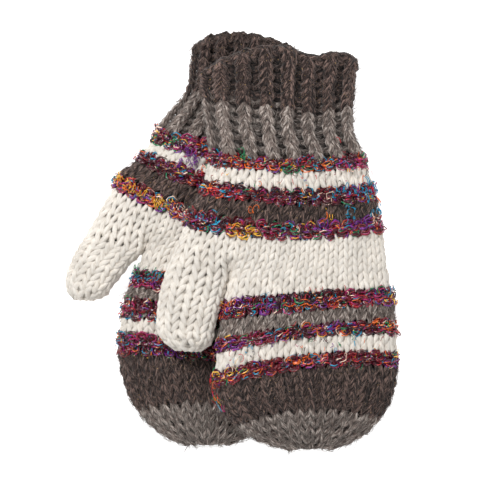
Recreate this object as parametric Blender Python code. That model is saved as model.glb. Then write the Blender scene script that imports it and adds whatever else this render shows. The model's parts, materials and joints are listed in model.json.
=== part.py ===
"""A pair of hand-knitted, fleece-lined mittens lying flat, the front one draped over the back one.

Each mitten is a stack of yarn bands, from the ribbed cuff down to the rounded finger tip, with a thumb
knitted out of the side and a thin fleece liner inside. Every band is one closed, hollow ring, so a hand
can pass through. Lengths are in millimetres here and become metres when the meshes are made.

Rows count the knitted courses from the cuff's edge (row 0) to the finger tip (row 49). A row line is where
a course lies in plan: its left end, its middle and its right end. A section is the hollow oval that stands
on a row line, and a band is the loft through its sections.
"""

from dataclasses import dataclass

import bmesh
import bpy
import numpy as np
from mathutils import Matrix, Vector

MM = 0.001

# Walls
KNIT_WALL = 5.0
LINER_GAP = 0.6
LINER_WALL = 1.5
RIDGE_SWELL = 1.2
LINER_OUTSIDE = KNIT_WALL + LINER_GAP
LINER_INSIDE = LINER_OUTSIDE + LINER_WALL

# Rows
GUSSET_ROW = 22
CROTCH_ROW = 27
KNUCKLE_ROW = 31
WRIST_ROW = 12
TIP_ROW = 39
END_ROW = 49
ROW_PITCH = 5.4
THUMB_TIP_ROW = 6
THUMB_END_ROW = 9
THUMB_ROOT_ROW = -5
END_SHARE = 0.98

# Gaps between neighbouring solids, in rows on each side of a boundary
BAND_GAP = 0.05
BEND_GAP = 0.10

# Sections
ARC_POINTS = 10
THUMB_ARC_POINTS = 9
TOP_FULLNESS = 0.38
BOTTOM_FULLNESS = 0.25
BOTTOM_PRESS = 1.06
THUMB_SHARE = 0.263
VALLEY_DEPTH = 0.3
VALLEY_WIDTH = 0.09

# Thumb swivel: the thumb's root is a disc that turns inside a round seat in the hand
SWIVEL_RADIUS = 23.0
SEAT_RADIUS = 24.0
CUT_HEIGHT = 160.0
CUT_SIDES = 32

# How the back mitten is pressed flat under the front one
PRESS_FROM_X = -29.0
PRESS_TO_X = 31.0
PRESS_SHARE = 0.4

# How the front mitten drapes from the top of the back one down to the table
DRAPE_HEIGHT = 28.5
DRAPE_HAND_X = (-12.0, 99.0)
DRAPE_CUFF_X = (-15.0, 85.0)
DRAPE_CUFF_Y = (21.0, 101.0)
DRAPE_SOFTNESS = 0.35
DRAPE_TIP_Y = (-99.0, -139.0)
DRAPE_TIP_SHARE = 0.4

# How far above the fabric the front mitten's two bend lines lie
BEND_CLEARANCE = 0.4

# Yarn colours as linear RGB, and the roughness of wool and of silk
YARNS = {
    "dark_wool": ((0.045, 0.033, 0.030), 0.95),
    "grey_wool": ((0.180, 0.158, 0.142), 0.95),
    "cream_wool": ((0.740, 0.700, 0.630), 0.92),
    "silk_mix": ((0.130, 0.022, 0.045), 0.55),
    "fleece": ((0.030, 0.028, 0.030), 1.0),
}

# name, first row, last row, loft steps, yarn
BANDS = (
    ("cuff_dark", 0, 6, 2, "dark_wool"),
    ("cuff_grey", 6, WRIST_ROW, 2, "grey_wool"),
    ("ridge_1", WRIST_ROW, 14, 2, "silk_mix"),
    ("stripe_cream_upper", 14, 16, 1, "cream_wool"),
    ("ridge_2", 16, 18, 2, "silk_mix"),
    ("stripe_dark", 18, 20, 1, "dark_wool"),
    ("ridge_3", 20, GUSSET_ROW, 2, "silk_mix"),
    ("palm_gusset", GUSSET_ROW, CROTCH_ROW, 3, "cream_wool"),
    ("palm_cream", CROTCH_ROW, 29, 1, "cream_wool"),
    ("ridge_4", 29, KNUCKLE_ROW, 2, "silk_mix"),
    ("stripe_grey", KNUCKLE_ROW, 33, 1, "grey_wool"),
    ("ridge_5", 33, 35, 2, "silk_mix"),
    ("stripe_cream_lower", 35, 37, 1, "cream_wool"),
    ("ridge_6", 37, TIP_ROW, 2, "silk_mix"),
    ("fingers_dark", TIP_ROW, 44, 2, "dark_wool"),
    ("tip_grey", 44, END_ROW, 3, "grey_wool"),
)
LINERS = (
    ("liner_wrist", WRIST_ROW + 0.6, CROTCH_ROW),
    ("liner_palm", CROTCH_ROW, KNUCKLE_ROW),
    ("liner_fingers", KNUCKLE_ROW, END_ROW),
)
SWIVEL_NEIGHBOURS = ("palm_gusset", "palm_cream", "liner_wrist", "liner_palm")


@dataclass(frozen=True)
class Mitten:
    """One mitten in plan: row lines of the hand and thumb as (left, middle, right) points, and thicknesses."""

    name: str
    hand_lines: dict
    split_line: tuple
    hand_tip: tuple
    thumb_lines: dict
    thumb_tip: tuple
    half_thickness: dict
    thumb_half_thickness: float


BACK = Mitten(
    name="back",
    hand_lines={
        0: ((-26, 131.5), (11.5, 137.5), (52.5, 121.5)),
        6: ((-30.5, 101.5), (8.5, 97.5), (49, 87)),
        WRIST_ROW: ((-50.5, 75.5), (-5.5, 63.5), (44.5, 50.5)),
        14: ((-54, 67.5), (-8.5, 54.5), (44, 41)),
        16: ((-60.5, 60), (-12.5, 43), (43, 32)),
        18: ((-64.5, 54.5), (-15, 34.5), (43, 23)),
        20: ((-74.5, 47), (-18.5, 21), (43, 12.5)),
        GUSSET_ROW: ((-80, 36.5), (-20.5, 10.5), (43, 1)),
        CROTCH_ROW: ((-60, -9.5), (-9.5, -19), (43, -28.5)),
        29: ((-64.5, -20), (-12.5, -27), (42.5, -38)),
        KNUCKLE_ROW: ((-68, -29), (-14, -36.5), (42, -46.5)),
        33: ((-72, -38), (-16, -46.5), (41, -56.5)),
        35: ((-74.5, -50), (-16.5, -56.5), (41, -66)),
        37: ((-76, -61.5), (-18, -67.5), (40.5, -76)),
        TIP_ROW: ((-76.5, -73.5), (-18.5, -78), (40, -86)),
    },
    split_line=((-99, 2.5), (-79.5, -5.5), (-60, -9.5)),
    hand_tip=(-17, -137),
    thumb_lines={
        0: ((-99, 2.5), (-79.5, -5.5), (-60, -9.5)),
        3: ((-106, -9), (-89, -16.5), (-70.5, -19)),
        THUMB_TIP_ROW: ((-111.5, -21), (-97, -29), (-81.5, -32)),
    },
    thumb_tip=(-99.5, -39),
    half_thickness={0: 10.5, 6: 11.0, WRIST_ROW: 12.0, 20: 13.0, TIP_ROW: 13.0},
    thumb_half_thickness=12.5,
)

FRONT = Mitten(
    name="front",
    hand_lines={
        0: ((-20, 111.5), (32, 128), (83, 123)),
        6: ((-18.5, 95), (32, 90), (81, 91)),
        WRIST_ROW: ((-14, 61), (36.5, 54), (88, 59)),
        14: ((-16, 52), (36.5, 46.5), (90, 50.5)),
        16: ((-18, 41), (36.5, 34.5), (93.5, 38.5)),
        18: ((-21, 33), (36.5, 26), (96, 29)),
        20: ((-28.5, 22), (35, 14), (98, 18.5)),
        GUSSET_ROW: ((-31, 11), (34.5, 2.5), (101, 8)),
        CROTCH_ROW: ((-2.5, -25), (50.5, -23), (103.5, -19)),
        29: ((-5, -38), (50.5, -34.5), (106, -30.5)),
        KNUCKLE_ROW: ((-7, -50), (50.5, -44.5), (108, -40.5)),
        33: ((-9, -66), (50, -56), (109, -52.5)),
        35: ((-10, -75.5), (49, -64.5), (109.5, -63.5)),
        37: ((-11, -87), (49, -74), (110, -72.5)),
        TIP_ROW: ((-12, -97), (49, -85), (110, -83.5)),
    },
    split_line=((-44, -19), (-23, -24), (-2.5, -25)),
    hand_tip=(52, -138.5),
    thumb_lines={
        0: ((-44, -19), (-23, -24), (-2.5, -25)),
        3: ((-48.5, -38), (-28, -42.5), (-7.5, -41)),
        THUMB_TIP_ROW: ((-50, -56), (-30.5, -60), (-12.5, -59)),
    },
    thumb_tip=(-29, -74),
    half_thickness={0: 11.5, 6: 12.0, WRIST_ROW: 12.5, 20: 14.5, TIP_ROW: 15.0},
    thumb_half_thickness=13.0,
)


def smoothstep(value):
    """0 below 0, 1 above 1, and an even S between."""
    held = np.clip(value, 0.0, 1.0)
    return held * held * (3.0 - 2.0 * held)


def between(table, row):
    """The table's value at a row: a cubic through the given rows, with tangents from their neighbours."""
    rows = np.array(sorted(table), float)
    values = np.array([table[int(r)] for r in rows], float)
    slopes = np.gradient(values, rows, axis=0)
    i = int(np.clip(np.searchsorted(rows, row) - 1, 0, len(rows) - 2))
    step = rows[i + 1] - rows[i]
    t = (row - rows[i]) / step
    return (
        (2 * t**3 - 3 * t**2 + 1) * values[i]
        + (t**3 - 2 * t**2 + t) * step * slopes[i]
        + (3 * t**2 - 2 * t**3) * values[i + 1]
        + (t**3 - t**2) * step * slopes[i + 1]
    )


def pulled_in(line, inset):
    """The row line with both ends moved inwards by the inset."""
    left, middle, right = (np.asarray(p, float) for p in line)
    along = (right - left) / np.linalg.norm(right - left)
    return np.array([left + inset * along, middle, right - inset * along])


def rounded_end(line, tip, share):
    """The row line at a share of the way from the last full line to the tip, along an elliptical outline."""
    centre, half = (line[0] + line[2]) / 2, (line[2] - line[0]) / 2
    bow = line[1] - centre
    centre = centre + share * (tip - centre)
    half = half * np.sqrt(max(1.0 - share**2, 0.0)) * (1.0, 1.0 - share)
    return np.array([centre - half, centre + bow * (1.0 - share), centre + half])


def rounded_rows(first, tip_row, end_row, steps):
    """Rows that pass evenly round a rounded end, from the first row to just short of the closing point."""
    start = np.arcsin((first - tip_row) / (end_row - tip_row))
    return tip_row + (end_row - tip_row) * np.sin(np.linspace(start, np.arcsin(END_SHARE), steps + 1))


def line_points(line, s):
    """Points on the parabola through the row line's left (s = 0), middle (s = 0.5) and right (s = 1) points."""
    s = s[:, None]
    return (
        2 * (s - 0.5) * (s - 1) * line[0] + 4 * s * (1 - s) * line[1] + 2 * s * (s - 0.5) * line[2]
    )


def fullness(s, power):
    """The height of the section's arc over its width: 0 at both edges, 1 in the middle, upright at the edges."""
    return np.clip(4 * s * (1 - s), 0.0, 1.0) ** power


def gusset_points(mitten, row, inset, s):
    """Points on a row line between the last ridge and the crotch, where one wide course becomes two."""
    share = (row - GUSSET_ROW) / (CROTCH_ROW - GUSSET_ROW)
    ridge = pulled_in(mitten.hand_lines[GUSSET_ROW], inset)
    split, hand = np.array(mitten.split_line, float), np.array(mitten.hand_lines[CROTCH_ROW], float)
    split[0] = pulled_in(split, inset)[0]
    hand[2] = pulled_in(hand, inset)[2]
    thumb_s = np.clip(s / THUMB_SHARE, 0, 1)
    hand_s = np.clip((s - THUMB_SHARE) / (1 - THUMB_SHARE), 0, 1)
    lower = np.where(
        (s < THUMB_SHARE)[:, None], line_points(split, thumb_s), line_points(hand, hand_s)
    )
    return (1 - share) * line_points(ridge, s) + share * lower


def valley(row, s):
    """A factor on the thickness: 1, but falling along the line between thumb and hand towards the crotch."""
    depth = VALLEY_DEPTH * smoothstep((row - GUSSET_ROW) / (CROTCH_ROW - GUSSET_ROW))
    depth = depth if GUSSET_ROW < row < CROTCH_ROW else 0.0
    return 1 - depth * np.exp(-(((s - THUMB_SHARE) / VALLEY_WIDTH) ** 2))


def drape(x, y):
    """The height of the surface that the front mitten lies on: the back mitten at the left, the table at right."""
    cuff = np.clip((y - DRAPE_CUFF_Y[0]) / (DRAPE_CUFF_Y[1] - DRAPE_CUFF_Y[0]), 0, 1)
    low = DRAPE_HAND_X[0] + cuff * (DRAPE_CUFF_X[0] - DRAPE_HAND_X[0])
    high = DRAPE_HAND_X[1] + cuff * (DRAPE_CUFF_X[1] - DRAPE_HAND_X[1])
    across = np.clip((x - low) / (high - low), 0, 1)
    fall = (1 - DRAPE_SOFTNESS) * across + DRAPE_SOFTNESS * smoothstep(across)
    tip = smoothstep((y - DRAPE_TIP_Y[0]) / (DRAPE_TIP_Y[1] - DRAPE_TIP_Y[0]))
    return DRAPE_HEIGHT * (1 - fall) * (1 - DRAPE_TIP_SHARE * tip)


def laid_down(mitten, points):
    """The points as the mitten lies: the back one pressed under the front one, which drapes over it."""
    x, y, z = points.T
    if mitten is BACK:
        press = smoothstep((x - PRESS_FROM_X) / (PRESS_TO_X - PRESS_FROM_X))
        return np.stack([x, y, z * (1 - PRESS_SHARE * press)], 1)
    return np.stack([x, y, z + drape(x, y)], 1)


def bend_line(row):
    """The two ends of a straight line across the top of the front mitten, along a row, just above the yarn."""
    thickness = 2 * between(FRONT.half_thickness, row) + BEND_CLEARANCE
    ends = (FRONT.hand_lines[row][0], FRONT.hand_lines[row][2])
    return [np.array((x, y, drape(x, y) + thickness)) for x, y in ends]


def oval(plan, s, half, centre_height, inset):
    """A closed loop of points: over the top from left to right, then back along the flattened underside."""
    over = centre_height + half * fullness(s, TOP_FULLNESS)
    under = centre_height - half * BOTTOM_PRESS * fullness(s, BOTTOM_FULLNESS)
    under = np.maximum(under, max(inset, 0.0))
    return np.vstack([np.column_stack([plan, over])[:-1], np.column_stack([plan, under])[:0:-1]])


def hand_section(mitten, row, inset):
    """The hand's section at a row, for a surface this far inside the mitten's outer face."""
    s = (1 - np.cos(np.linspace(0, np.pi, ARC_POINTS))) / 2
    share = float(np.clip((row - TIP_ROW) / (END_ROW - TIP_ROW), 0.0, 1.0))
    thickness = between(mitten.half_thickness, min(row, TIP_ROW))
    if GUSSET_ROW < row < CROTCH_ROW:
        plan = gusset_points(mitten, row, inset, s)
    elif row <= TIP_ROW:
        part = {r: p for r, p in mitten.hand_lines.items() if (r < CROTCH_ROW) == (row < CROTCH_ROW)}
        plan = line_points(pulled_in(between(part, row), inset), s)
    else:
        last = pulled_in(mitten.hand_lines[TIP_ROW], inset)
        tip = np.array(mitten.hand_tip, float)
        tip = tip + inset * (last[1] - tip) / np.linalg.norm(last[1] - tip)
        plan = line_points(rounded_end(last, tip, share), s)
    half = (thickness * valley(row, s) - inset) * np.sqrt(1 - share**2)
    ring = oval(plan, s, half, thickness * (1 - 0.2 * share**2), inset)
    return laid_down(mitten, ring)


def thumb_section(mitten, row, inset):
    """The thumb's section at a row counted from its root, for a surface this far inside its outer face."""
    s = (1 - np.cos(np.linspace(0, np.pi, THUMB_ARC_POINTS))) / 2
    lines = {r: np.array(p, float) for r, p in mitten.thumb_lines.items()}
    share = float(np.clip((row - THUMB_TIP_ROW) / (THUMB_END_ROW - THUMB_TIP_ROW), 0.0, 1.0))
    if row < 0:
        line = lines[0] + row * (lines[3][1] - lines[0][1]) / 3
    elif row <= THUMB_TIP_ROW:
        line = between(lines, row)
    else:
        line = lines[THUMB_TIP_ROW]
    line = pulled_in(line, inset)
    if share > 0:
        tip = np.array(mitten.thumb_tip, float)
        line = rounded_end(line, tip + inset * (line[1] - tip) / np.linalg.norm(line[1] - tip), share)
    thickness = mitten.thumb_half_thickness
    half = (thickness - inset) * np.sqrt(1 - share**2)
    ring = oval(line_points(line, s), s, half, thickness * (1 - 0.2 * share**2), inset)
    return laid_down(mitten, ring)


def loft(name, outside, inside, closed_end):
    """A hollow solid between two stacks of rings. A closed end is capped with a fan to each stack's centre."""
    mesh = bmesh.new()
    stacks = [[[mesh.verts.new(p * MM) for p in ring] for ring in rings] for rings in (outside, inside)]
    for rings, turn in zip(stacks, (1, -1)):
        for lower, upper in zip(rings[:-1], rings[1:]):
            bridge(mesh, lower, upper, turn)
        if closed_end:
            fan(mesh, rings[-1], turn)
    bridge(mesh, stacks[0][0], stacks[1][0], -1)
    if not closed_end:
        bridge(mesh, stacks[0][-1], stacks[1][-1], 1)
    bmesh.ops.triangulate(mesh, faces=mesh.faces)
    bmesh.ops.recalc_face_normals(mesh, faces=mesh.faces)
    data = bpy.data.meshes.new(name)
    mesh.to_mesh(data)
    mesh.free()
    data.shade_smooth()
    data.set_sharp_from_angle(angle=0.9)
    return data


def bridge(mesh, lower, upper, turn):
    """A band of quads between two rings of vertices with the same count."""
    count = len(lower)
    for i in range(count):
        corners = (lower[i], lower[(i + 1) % count], upper[(i + 1) % count], upper[i])
        mesh.faces.new(corners[::turn])


def fan(mesh, ring, turn):
    """Triangles from a ring of vertices to its centre."""
    centre = mesh.verts.new(sum((v.co for v in ring), Vector()) / len(ring))
    for i in range(len(ring)):
        mesh.faces.new((ring[i], ring[(i + 1) % len(ring)], centre)[::turn])


def gap_at(row):
    """Half the gap left at a row boundary: wider where the front mitten bends."""
    return BEND_GAP if row in (WRIST_ROW, KNUCKLE_ROW) else BAND_GAP


def band_rows(first, last, steps):
    """The rows of a band's rings, held back from its boundaries by the gap; the finger tip runs to its end."""
    start = first + (gap_at(first) if first else 0.0)
    if last == END_ROW:
        return rounded_rows(start, TIP_ROW, END_ROW, steps)
    return np.linspace(start, last - gap_at(last), steps + 1)


def knit_band(mitten, name, first, last, steps, yarn):
    """One band of yarn as a hollow ring. The silk ridges swell out between their neighbours."""
    rows = band_rows(first, last, steps)
    outside = [hand_section(mitten, r, 0.0) for r in rows]
    if name.startswith("ridge"):
        outside[1] = hand_section(mitten, rows[1], -RIDGE_SWELL)
        outside[1][:, 2] = np.maximum(outside[1][:, 2], 0.0)
    inside = [hand_section(mitten, r, KNIT_WALL) for r in rows]
    return add_part(f"{mitten.name}_{name}", loft(name, outside, inside, last == END_ROW), yarn)


def fleece_liner(mitten, name, first, last):
    """One length of the fleece liner, with a ring at every band boundary that it passes."""
    passed = [band for band in BANDS if first - 1 < band[1] and band[2] <= last]
    rows = [row for band in passed for row in band_rows(*band[1:4])[:-1] if row > first]
    rows.append(band_rows(*passed[-1][1:4])[-1])
    outside = [hand_section(mitten, r, LINER_OUTSIDE) for r in rows]
    inside = [hand_section(mitten, r, LINER_INSIDE) for r in rows]
    closed_end = last == END_ROW
    return add_part(f"{mitten.name}_{name}", loft(name, outside, inside, closed_end), "fleece")


def thumb_tube(mitten, name, outer_inset, inner_inset, yarn):
    """The thumb, or its liner: a hollow finger whose root runs back into the hand for the swivel's disc."""
    ends = rounded_rows(THUMB_TIP_ROW, THUMB_TIP_ROW, THUMB_END_ROW, 4)
    rows = [THUMB_ROOT_ROW, 0, 3, *ends]
    stacks = [[thumb_section(mitten, r, inset) for r in rows] for inset in (outer_inset, inner_inset)]
    return add_part(f"{mitten.name}_{name}", loft(name, *stacks, True), yarn)


def swivel_point(mitten):
    """The middle of the thumb's root in plan, where its upright swivel axis stands."""
    left, _, right = np.array(mitten.split_line, float)
    return (left + right) / 2


def swivel_cutter(mitten, radius):
    """An upright cylinder on the thumb's swivel axis."""
    mesh = bmesh.new()
    bmesh.ops.create_cone(
        mesh,
        cap_ends=True,
        segments=CUT_SIDES,
        radius1=radius * MM,
        radius2=radius * MM,
        depth=CUT_HEIGHT * MM,
    )
    data = bpy.data.meshes.new("swivel_cutter")
    mesh.to_mesh(data)
    mesh.free()
    cutter = bpy.data.objects.new(f"{mitten.name}_swivel_{radius:g}", data)
    cutter.location = Vector((*swivel_point(mitten), 30.0)) * MM
    return hidden(cutter)


def root_cutter(mitten):
    """Removes the thumb's root outside the swivel disc: a block above the root line, less the disc."""
    left, _, right = np.array(mitten.split_line, float)
    along = (right - left) / np.linalg.norm(right - left)
    up = np.array([-along[1], along[0]])
    mesh = bmesh.new()
    bmesh.ops.create_cube(mesh, size=1.0)
    bmesh.ops.scale(mesh, vec=Vector((90, 60, CUT_HEIGHT - 10)) * MM, verts=mesh.verts)
    turn = Matrix.Rotation(float(np.arctan2(along[1], along[0])), 4, "Z")
    place = Matrix.Translation(Vector((*(swivel_point(mitten) + up * 30), 30.0)) * MM)
    bmesh.ops.transform(mesh, matrix=place @ turn, verts=mesh.verts)
    data = bpy.data.meshes.new("root_cutter")
    mesh.to_mesh(data)
    mesh.free()
    cutter = hidden(bpy.data.objects.new(f"{mitten.name}_root_cutter", data))
    cut(cutter, swivel_cutter(mitten, SWIVEL_RADIUS))
    return cutter


def hidden(cutter):
    """Puts a cutter in the cutters' collection, out of the render."""
    cutter.hide_render = True
    cutter.display_type = "WIRE"
    bpy.data.collections["cutters"].objects.link(cutter)
    return cutter


def cut(obj, cutter):
    """Takes the cutter's shape out of the object."""
    modifier = obj.modifiers.new("cut", "BOOLEAN")
    modifier.operation = "DIFFERENCE"
    modifier.object = cutter


def material(yarn):
    """The yarn's plain material, made once."""
    made = bpy.data.materials.get(yarn)
    if made:
        return made
    colour, roughness = YARNS[yarn]
    made = bpy.data.materials.new(yarn)
    made.use_nodes = True
    shader = made.node_tree.nodes["Principled BSDF"]
    shader.inputs["Base Color"].default_value = (*colour, 1.0)
    shader.inputs["Roughness"].default_value = roughness
    shader.inputs["Metallic"].default_value = 0.0
    return made


def add_part(name, data, yarn):
    """A named part of the pair, in its yarn."""
    data.name = name
    data.materials.append(material(yarn))
    obj = bpy.data.objects.new(name, data)
    bpy.data.collections["knitted_mittens"].objects.link(obj)
    return obj


def joint_empty(name, point, parts):
    """An empty on a joint's axis, with the parts that move on it as its children."""
    empty = bpy.data.objects.new(name, None)
    empty.location = Vector(point) * MM
    bpy.data.collections["knitted_mittens"].objects.link(empty)
    bpy.context.view_layer.update()
    for part in parts:
        part.parent = empty
        part.matrix_parent_inverse = empty.matrix_world.inverted()
    return empty


def build_mitten(mitten):
    """All parts of one mitten, by name."""
    parts = {}
    for band in BANDS:
        parts[band[0]] = knit_band(mitten, *band)
    for liner in LINERS:
        parts[liner[0]] = fleece_liner(mitten, *liner)
    parts["thumb"] = thumb_tube(mitten, "thumb", 0.0, KNIT_WALL, "cream_wool")
    parts["liner_thumb"] = thumb_tube(mitten, "liner_thumb", LINER_OUTSIDE, LINER_INSIDE, "fleece")
    seat = swivel_cutter(mitten, SEAT_RADIUS)
    for name in SWIVEL_NEIGHBOURS:
        cut(parts[name], seat)
    root = root_cutter(mitten)
    for name in ("thumb", "liner_thumb"):
        cut(parts[name], root)
    return parts


def main():
    """Clears the scene, builds both mittens and hangs the moving parts on their joints."""
    for obj in list(bpy.data.objects):
        bpy.data.objects.remove(obj)
    for name in ("knitted_mittens", "cutters"):
        bpy.context.scene.collection.children.link(bpy.data.collections.new(name))
    back = build_mitten(BACK)
    front = build_mitten(FRONT)
    joint_empty("back_thumb_axis", (*swivel_point(BACK), 0.0), [back["thumb"], back["liner_thumb"]])
    joint_empty("front_thumb_axis", (*swivel_point(FRONT), 0.0), [front["thumb"], front["liner_thumb"]])
    joint_empty("front_cuff_axis", bend_line(WRIST_ROW)[0], [front["cuff_dark"], front["cuff_grey"]])
    names = [band[0] for band in BANDS if band[1] >= KNUCKLE_ROW] + ["liner_fingers"]
    joint_empty("front_knuckle_axis", bend_line(KNUCKLE_ROW)[0], [front[name] for name in names])


main()
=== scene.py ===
"""A pair of chunky hand-knitted mittens, stitch by stitch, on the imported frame.

The front mitten lies partly over the back one. Both are knitted in the round from the ribbed cuff to the
finger tip: every course of every band is one closed yarn that loops its way round the mitten. Between the
plain bands, pairs of purl courses in a multicoloured spun silk stand out as ridges. A dark fleece lining
shows through the gaps between the stitches.

The shapes are worked out in millimetres and become metres when a mesh is made. Rows count the knitted
courses from the cuff's edge (row 0) to the finger tip (row 49). "Around" is the place on a course, from 0
at the mitten's left edge over the top to 0.5 at the right edge, and back along the underside to 1.
"""

from __future__ import annotations

import json
import logging
from dataclasses import dataclass, field
from enum import Enum

import bpy
import numpy as np
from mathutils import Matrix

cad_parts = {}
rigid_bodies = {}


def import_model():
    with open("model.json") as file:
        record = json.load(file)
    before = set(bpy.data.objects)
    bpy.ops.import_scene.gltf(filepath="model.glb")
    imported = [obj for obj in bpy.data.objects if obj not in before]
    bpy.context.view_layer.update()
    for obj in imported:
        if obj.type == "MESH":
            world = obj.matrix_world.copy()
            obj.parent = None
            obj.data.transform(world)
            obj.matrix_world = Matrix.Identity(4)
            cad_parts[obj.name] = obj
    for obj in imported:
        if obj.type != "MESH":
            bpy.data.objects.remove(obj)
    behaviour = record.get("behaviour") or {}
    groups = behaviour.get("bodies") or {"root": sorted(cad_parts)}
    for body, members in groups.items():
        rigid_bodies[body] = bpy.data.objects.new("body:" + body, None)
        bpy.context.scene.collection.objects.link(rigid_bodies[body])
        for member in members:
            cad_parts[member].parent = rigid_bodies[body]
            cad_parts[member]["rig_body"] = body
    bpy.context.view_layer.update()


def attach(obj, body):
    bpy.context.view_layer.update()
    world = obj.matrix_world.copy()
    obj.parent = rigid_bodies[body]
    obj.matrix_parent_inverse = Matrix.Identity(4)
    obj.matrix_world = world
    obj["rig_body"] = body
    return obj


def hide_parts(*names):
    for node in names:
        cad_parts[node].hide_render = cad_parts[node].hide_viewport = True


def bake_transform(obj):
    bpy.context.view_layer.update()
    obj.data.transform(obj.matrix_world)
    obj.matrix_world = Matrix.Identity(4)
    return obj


log = logging.getLogger("mittens")
Array = np.ndarray
Rng = np.random.Generator
Socket = bpy.types.NodeSocket
Plan = tuple[tuple[float, float], ...]
Colour = tuple[float, float, float]

MM = 0.001

# Rows that matter to more than one piece
WRIST_ROW = 12
GUSSET_ROW = 22
CROTCH_ROW = 27
KNUCKLE_ROW = 31
TIP_ROW = 39
END_ROW = 49
THUMB_TIP_ROW = 6
THUMB_END_ROW = 9

# A row past every tip, and how far short of the closing row the hand's and the thumb's last loops stop
NO_LIMIT = 99.0
HAND_GAP = 0.45
THUMB_GAP = 0.4

# Loops round the thumb and round the hand below it
THUMB_LOOPS = 10
HAND_LOOPS = 32

# The thumb's share of the whole width, and the share of the gusset's length after which it rounds off
THUMB_SHARE = 0.263
SPLIT_START = 0.35

# How much sooner a rounded end closes at its sides than in its middle
END_ARCH = 0.1

# Steps round a course of the hand, and round each loop where a course holds both the thumb and the hand
COURSE_STEPS = 256
LOOP_STEPS = 16

# Below this height, in metres, yarn is pressed flatter and flatter against the table.
TABLE_GAP = 0.0012


class Stitch(Enum):
    """How the loops of a course face."""

    KNIT = "knit"
    PURL = "purl"
    RIB = "rib"


def smoothstep(value: Array | float) -> Array:
    """0 below 0, 1 above 1, and an even S between."""
    held = np.clip(value, 0.0, 1.0)
    return held * held * (3.0 - 2.0 * held)


def unit(vectors: Array) -> Array:
    """The vectors at length one."""
    return vectors / np.maximum(np.linalg.norm(vectors, axis=-1, keepdims=True), 1e-12)


def through(known_rows: Array, values: Array, rows: Array) -> Array:
    """A smooth curve through known values: the cubic between two of them with slopes from their neighbours.

    Args:
        known_rows: rows where the value is known, rising.
        values: one value, of any shape, for each known row.
        rows: where to read the curve.

    Returns:
        One value for each of rows.
    """
    slopes = np.gradient(values, known_rows, axis=0)
    i = np.clip(np.searchsorted(known_rows, rows) - 1, 0, len(known_rows) - 2)
    step = known_rows[i + 1] - known_rows[i]
    shape = (len(rows),) + (1,) * (values.ndim - 1)
    t, step = ((rows - known_rows[i]) / step).reshape(shape), step.reshape(shape)
    return (
        (2 * t**3 - 3 * t**2 + 1) * values[i]
        + (t**3 - 2 * t**2 + t) * step * slopes[i]
        + (3 * t**2 - 2 * t**3) * values[i + 1]
        + (t**3 - t**2) * step * slopes[i + 1]
    )


def wave_noise(rng: Rng, turns: Array, harmonics: tuple[int, ...]) -> Array:
    """A smooth random wave that closes on itself: a sum of sines with random heights and phases.

    Args:
        rng: the seeded source of chance.
        turns: places along the wave, where 1 is once round.
        harmonics: how many waves each sine has in one round.

    Returns:
        The wave's value at each place, mostly between -1 and 1.
    """
    heights = rng.normal(size=len(harmonics)) / np.sqrt(len(harmonics) / 2)
    phases = rng.uniform(0, 2 * np.pi, len(harmonics))
    angles = 2 * np.pi * np.multiply.outer(turns, np.array(harmonics)) + phases
    return np.sin(angles) @ heights


class Fabric:
    """The outer surface of one stretch of fabric, kept as a grid of points: rows by places around."""

    def __init__(self, rows: Array, points: Array) -> None:
        """Keeps the grid and works out the outward normals.

        Args:
            rows: the grid's rows, evenly spaced.
            points: the surface in millimetres, rows by places around by 3.
        """
        self.first = float(rows[0])
        self.step = float(rows[1] - rows[0])
        self.points = points
        around = np.roll(points, -1, axis=1) - np.roll(points, 1, axis=1)
        along = np.gradient(points, axis=0)
        normals = unit(np.cross(around, along))
        outward = points - points.mean(axis=1, keepdims=True)
        self.normals = normals * np.sign((normals * outward).sum())

    def _read(self, grid: Array, around: Array, rows: Array) -> Array:
        """The grid's value between its points: linear both ways, and carried on past the last rows.

        Args:
            grid: rows by places around by 3.
            around: places around.
            rows: rows, the same shape as around.

        Returns:
            One vector for each place.
        """
        i = (rows - self.first) / self.step
        low = np.clip(np.floor(i), 0, len(grid) - 2).astype(int)
        i = (i - low)[..., None]
        j = (around % 1.0) * grid.shape[1]
        left = np.floor(j).astype(int)
        j = (j - left)[..., None]
        left, right = left % grid.shape[1], (left + 1) % grid.shape[1]
        near = (1 - j) * grid[low, left] + j * grid[low, right]
        far = (1 - j) * grid[low + 1, left] + j * grid[low + 1, right]
        return (1 - i) * near + i * far

    def normal(self, around: Array, rows: Array) -> Array:
        """The outward normal at places around and rows."""
        return unit(self._read(self.normals, around, rows))

    def place(self, around: Array, rows: Array, height: Array | float) -> Array:
        """Points on the fabric, lifted along its normal.

        Args:
            around: places around.
            rows: rows, the same shape as around.
            height: how far off the surface, in millimetres.

        Returns:
            One point for each place, in millimetres.
        """
        lift = np.broadcast_to(np.asarray(height, float), np.shape(rows))[..., None]
        return self._read(self.points, around, rows) + lift * self.normal(around, rows)


def spread(loop: Array, parts: list[tuple[int, int, int]]) -> Array:
    """Spaces the points of each row evenly by length, part by part.

    Args:
        loop: rows by points by 3, an open line along one face of the mitten.
        parts: for each part, its first and last point on the line and how many steps it gets.

    Returns:
        Rows by steps by 3, without each part's last point.
    """
    rows = []
    for line in loop:
        lengths = np.concatenate([[0.0], np.cumsum(np.linalg.norm(np.diff(line, axis=0), axis=1))])
        at = [np.linspace(lengths[a], lengths[b], n, endpoint=False) for a, b, n in parts]
        at = np.concatenate(at)
        rows.append(np.stack([np.interp(at, lengths, line[:, k]) for k in range(3)], axis=1))
    return np.array(rows)


@dataclass(frozen=True)
class Lie:
    """How a mitten lies: pressed under the other one, or draped over it."""

    def settle(self, points: Array) -> Array:
        """The points as they lie."""
        return points


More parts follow.
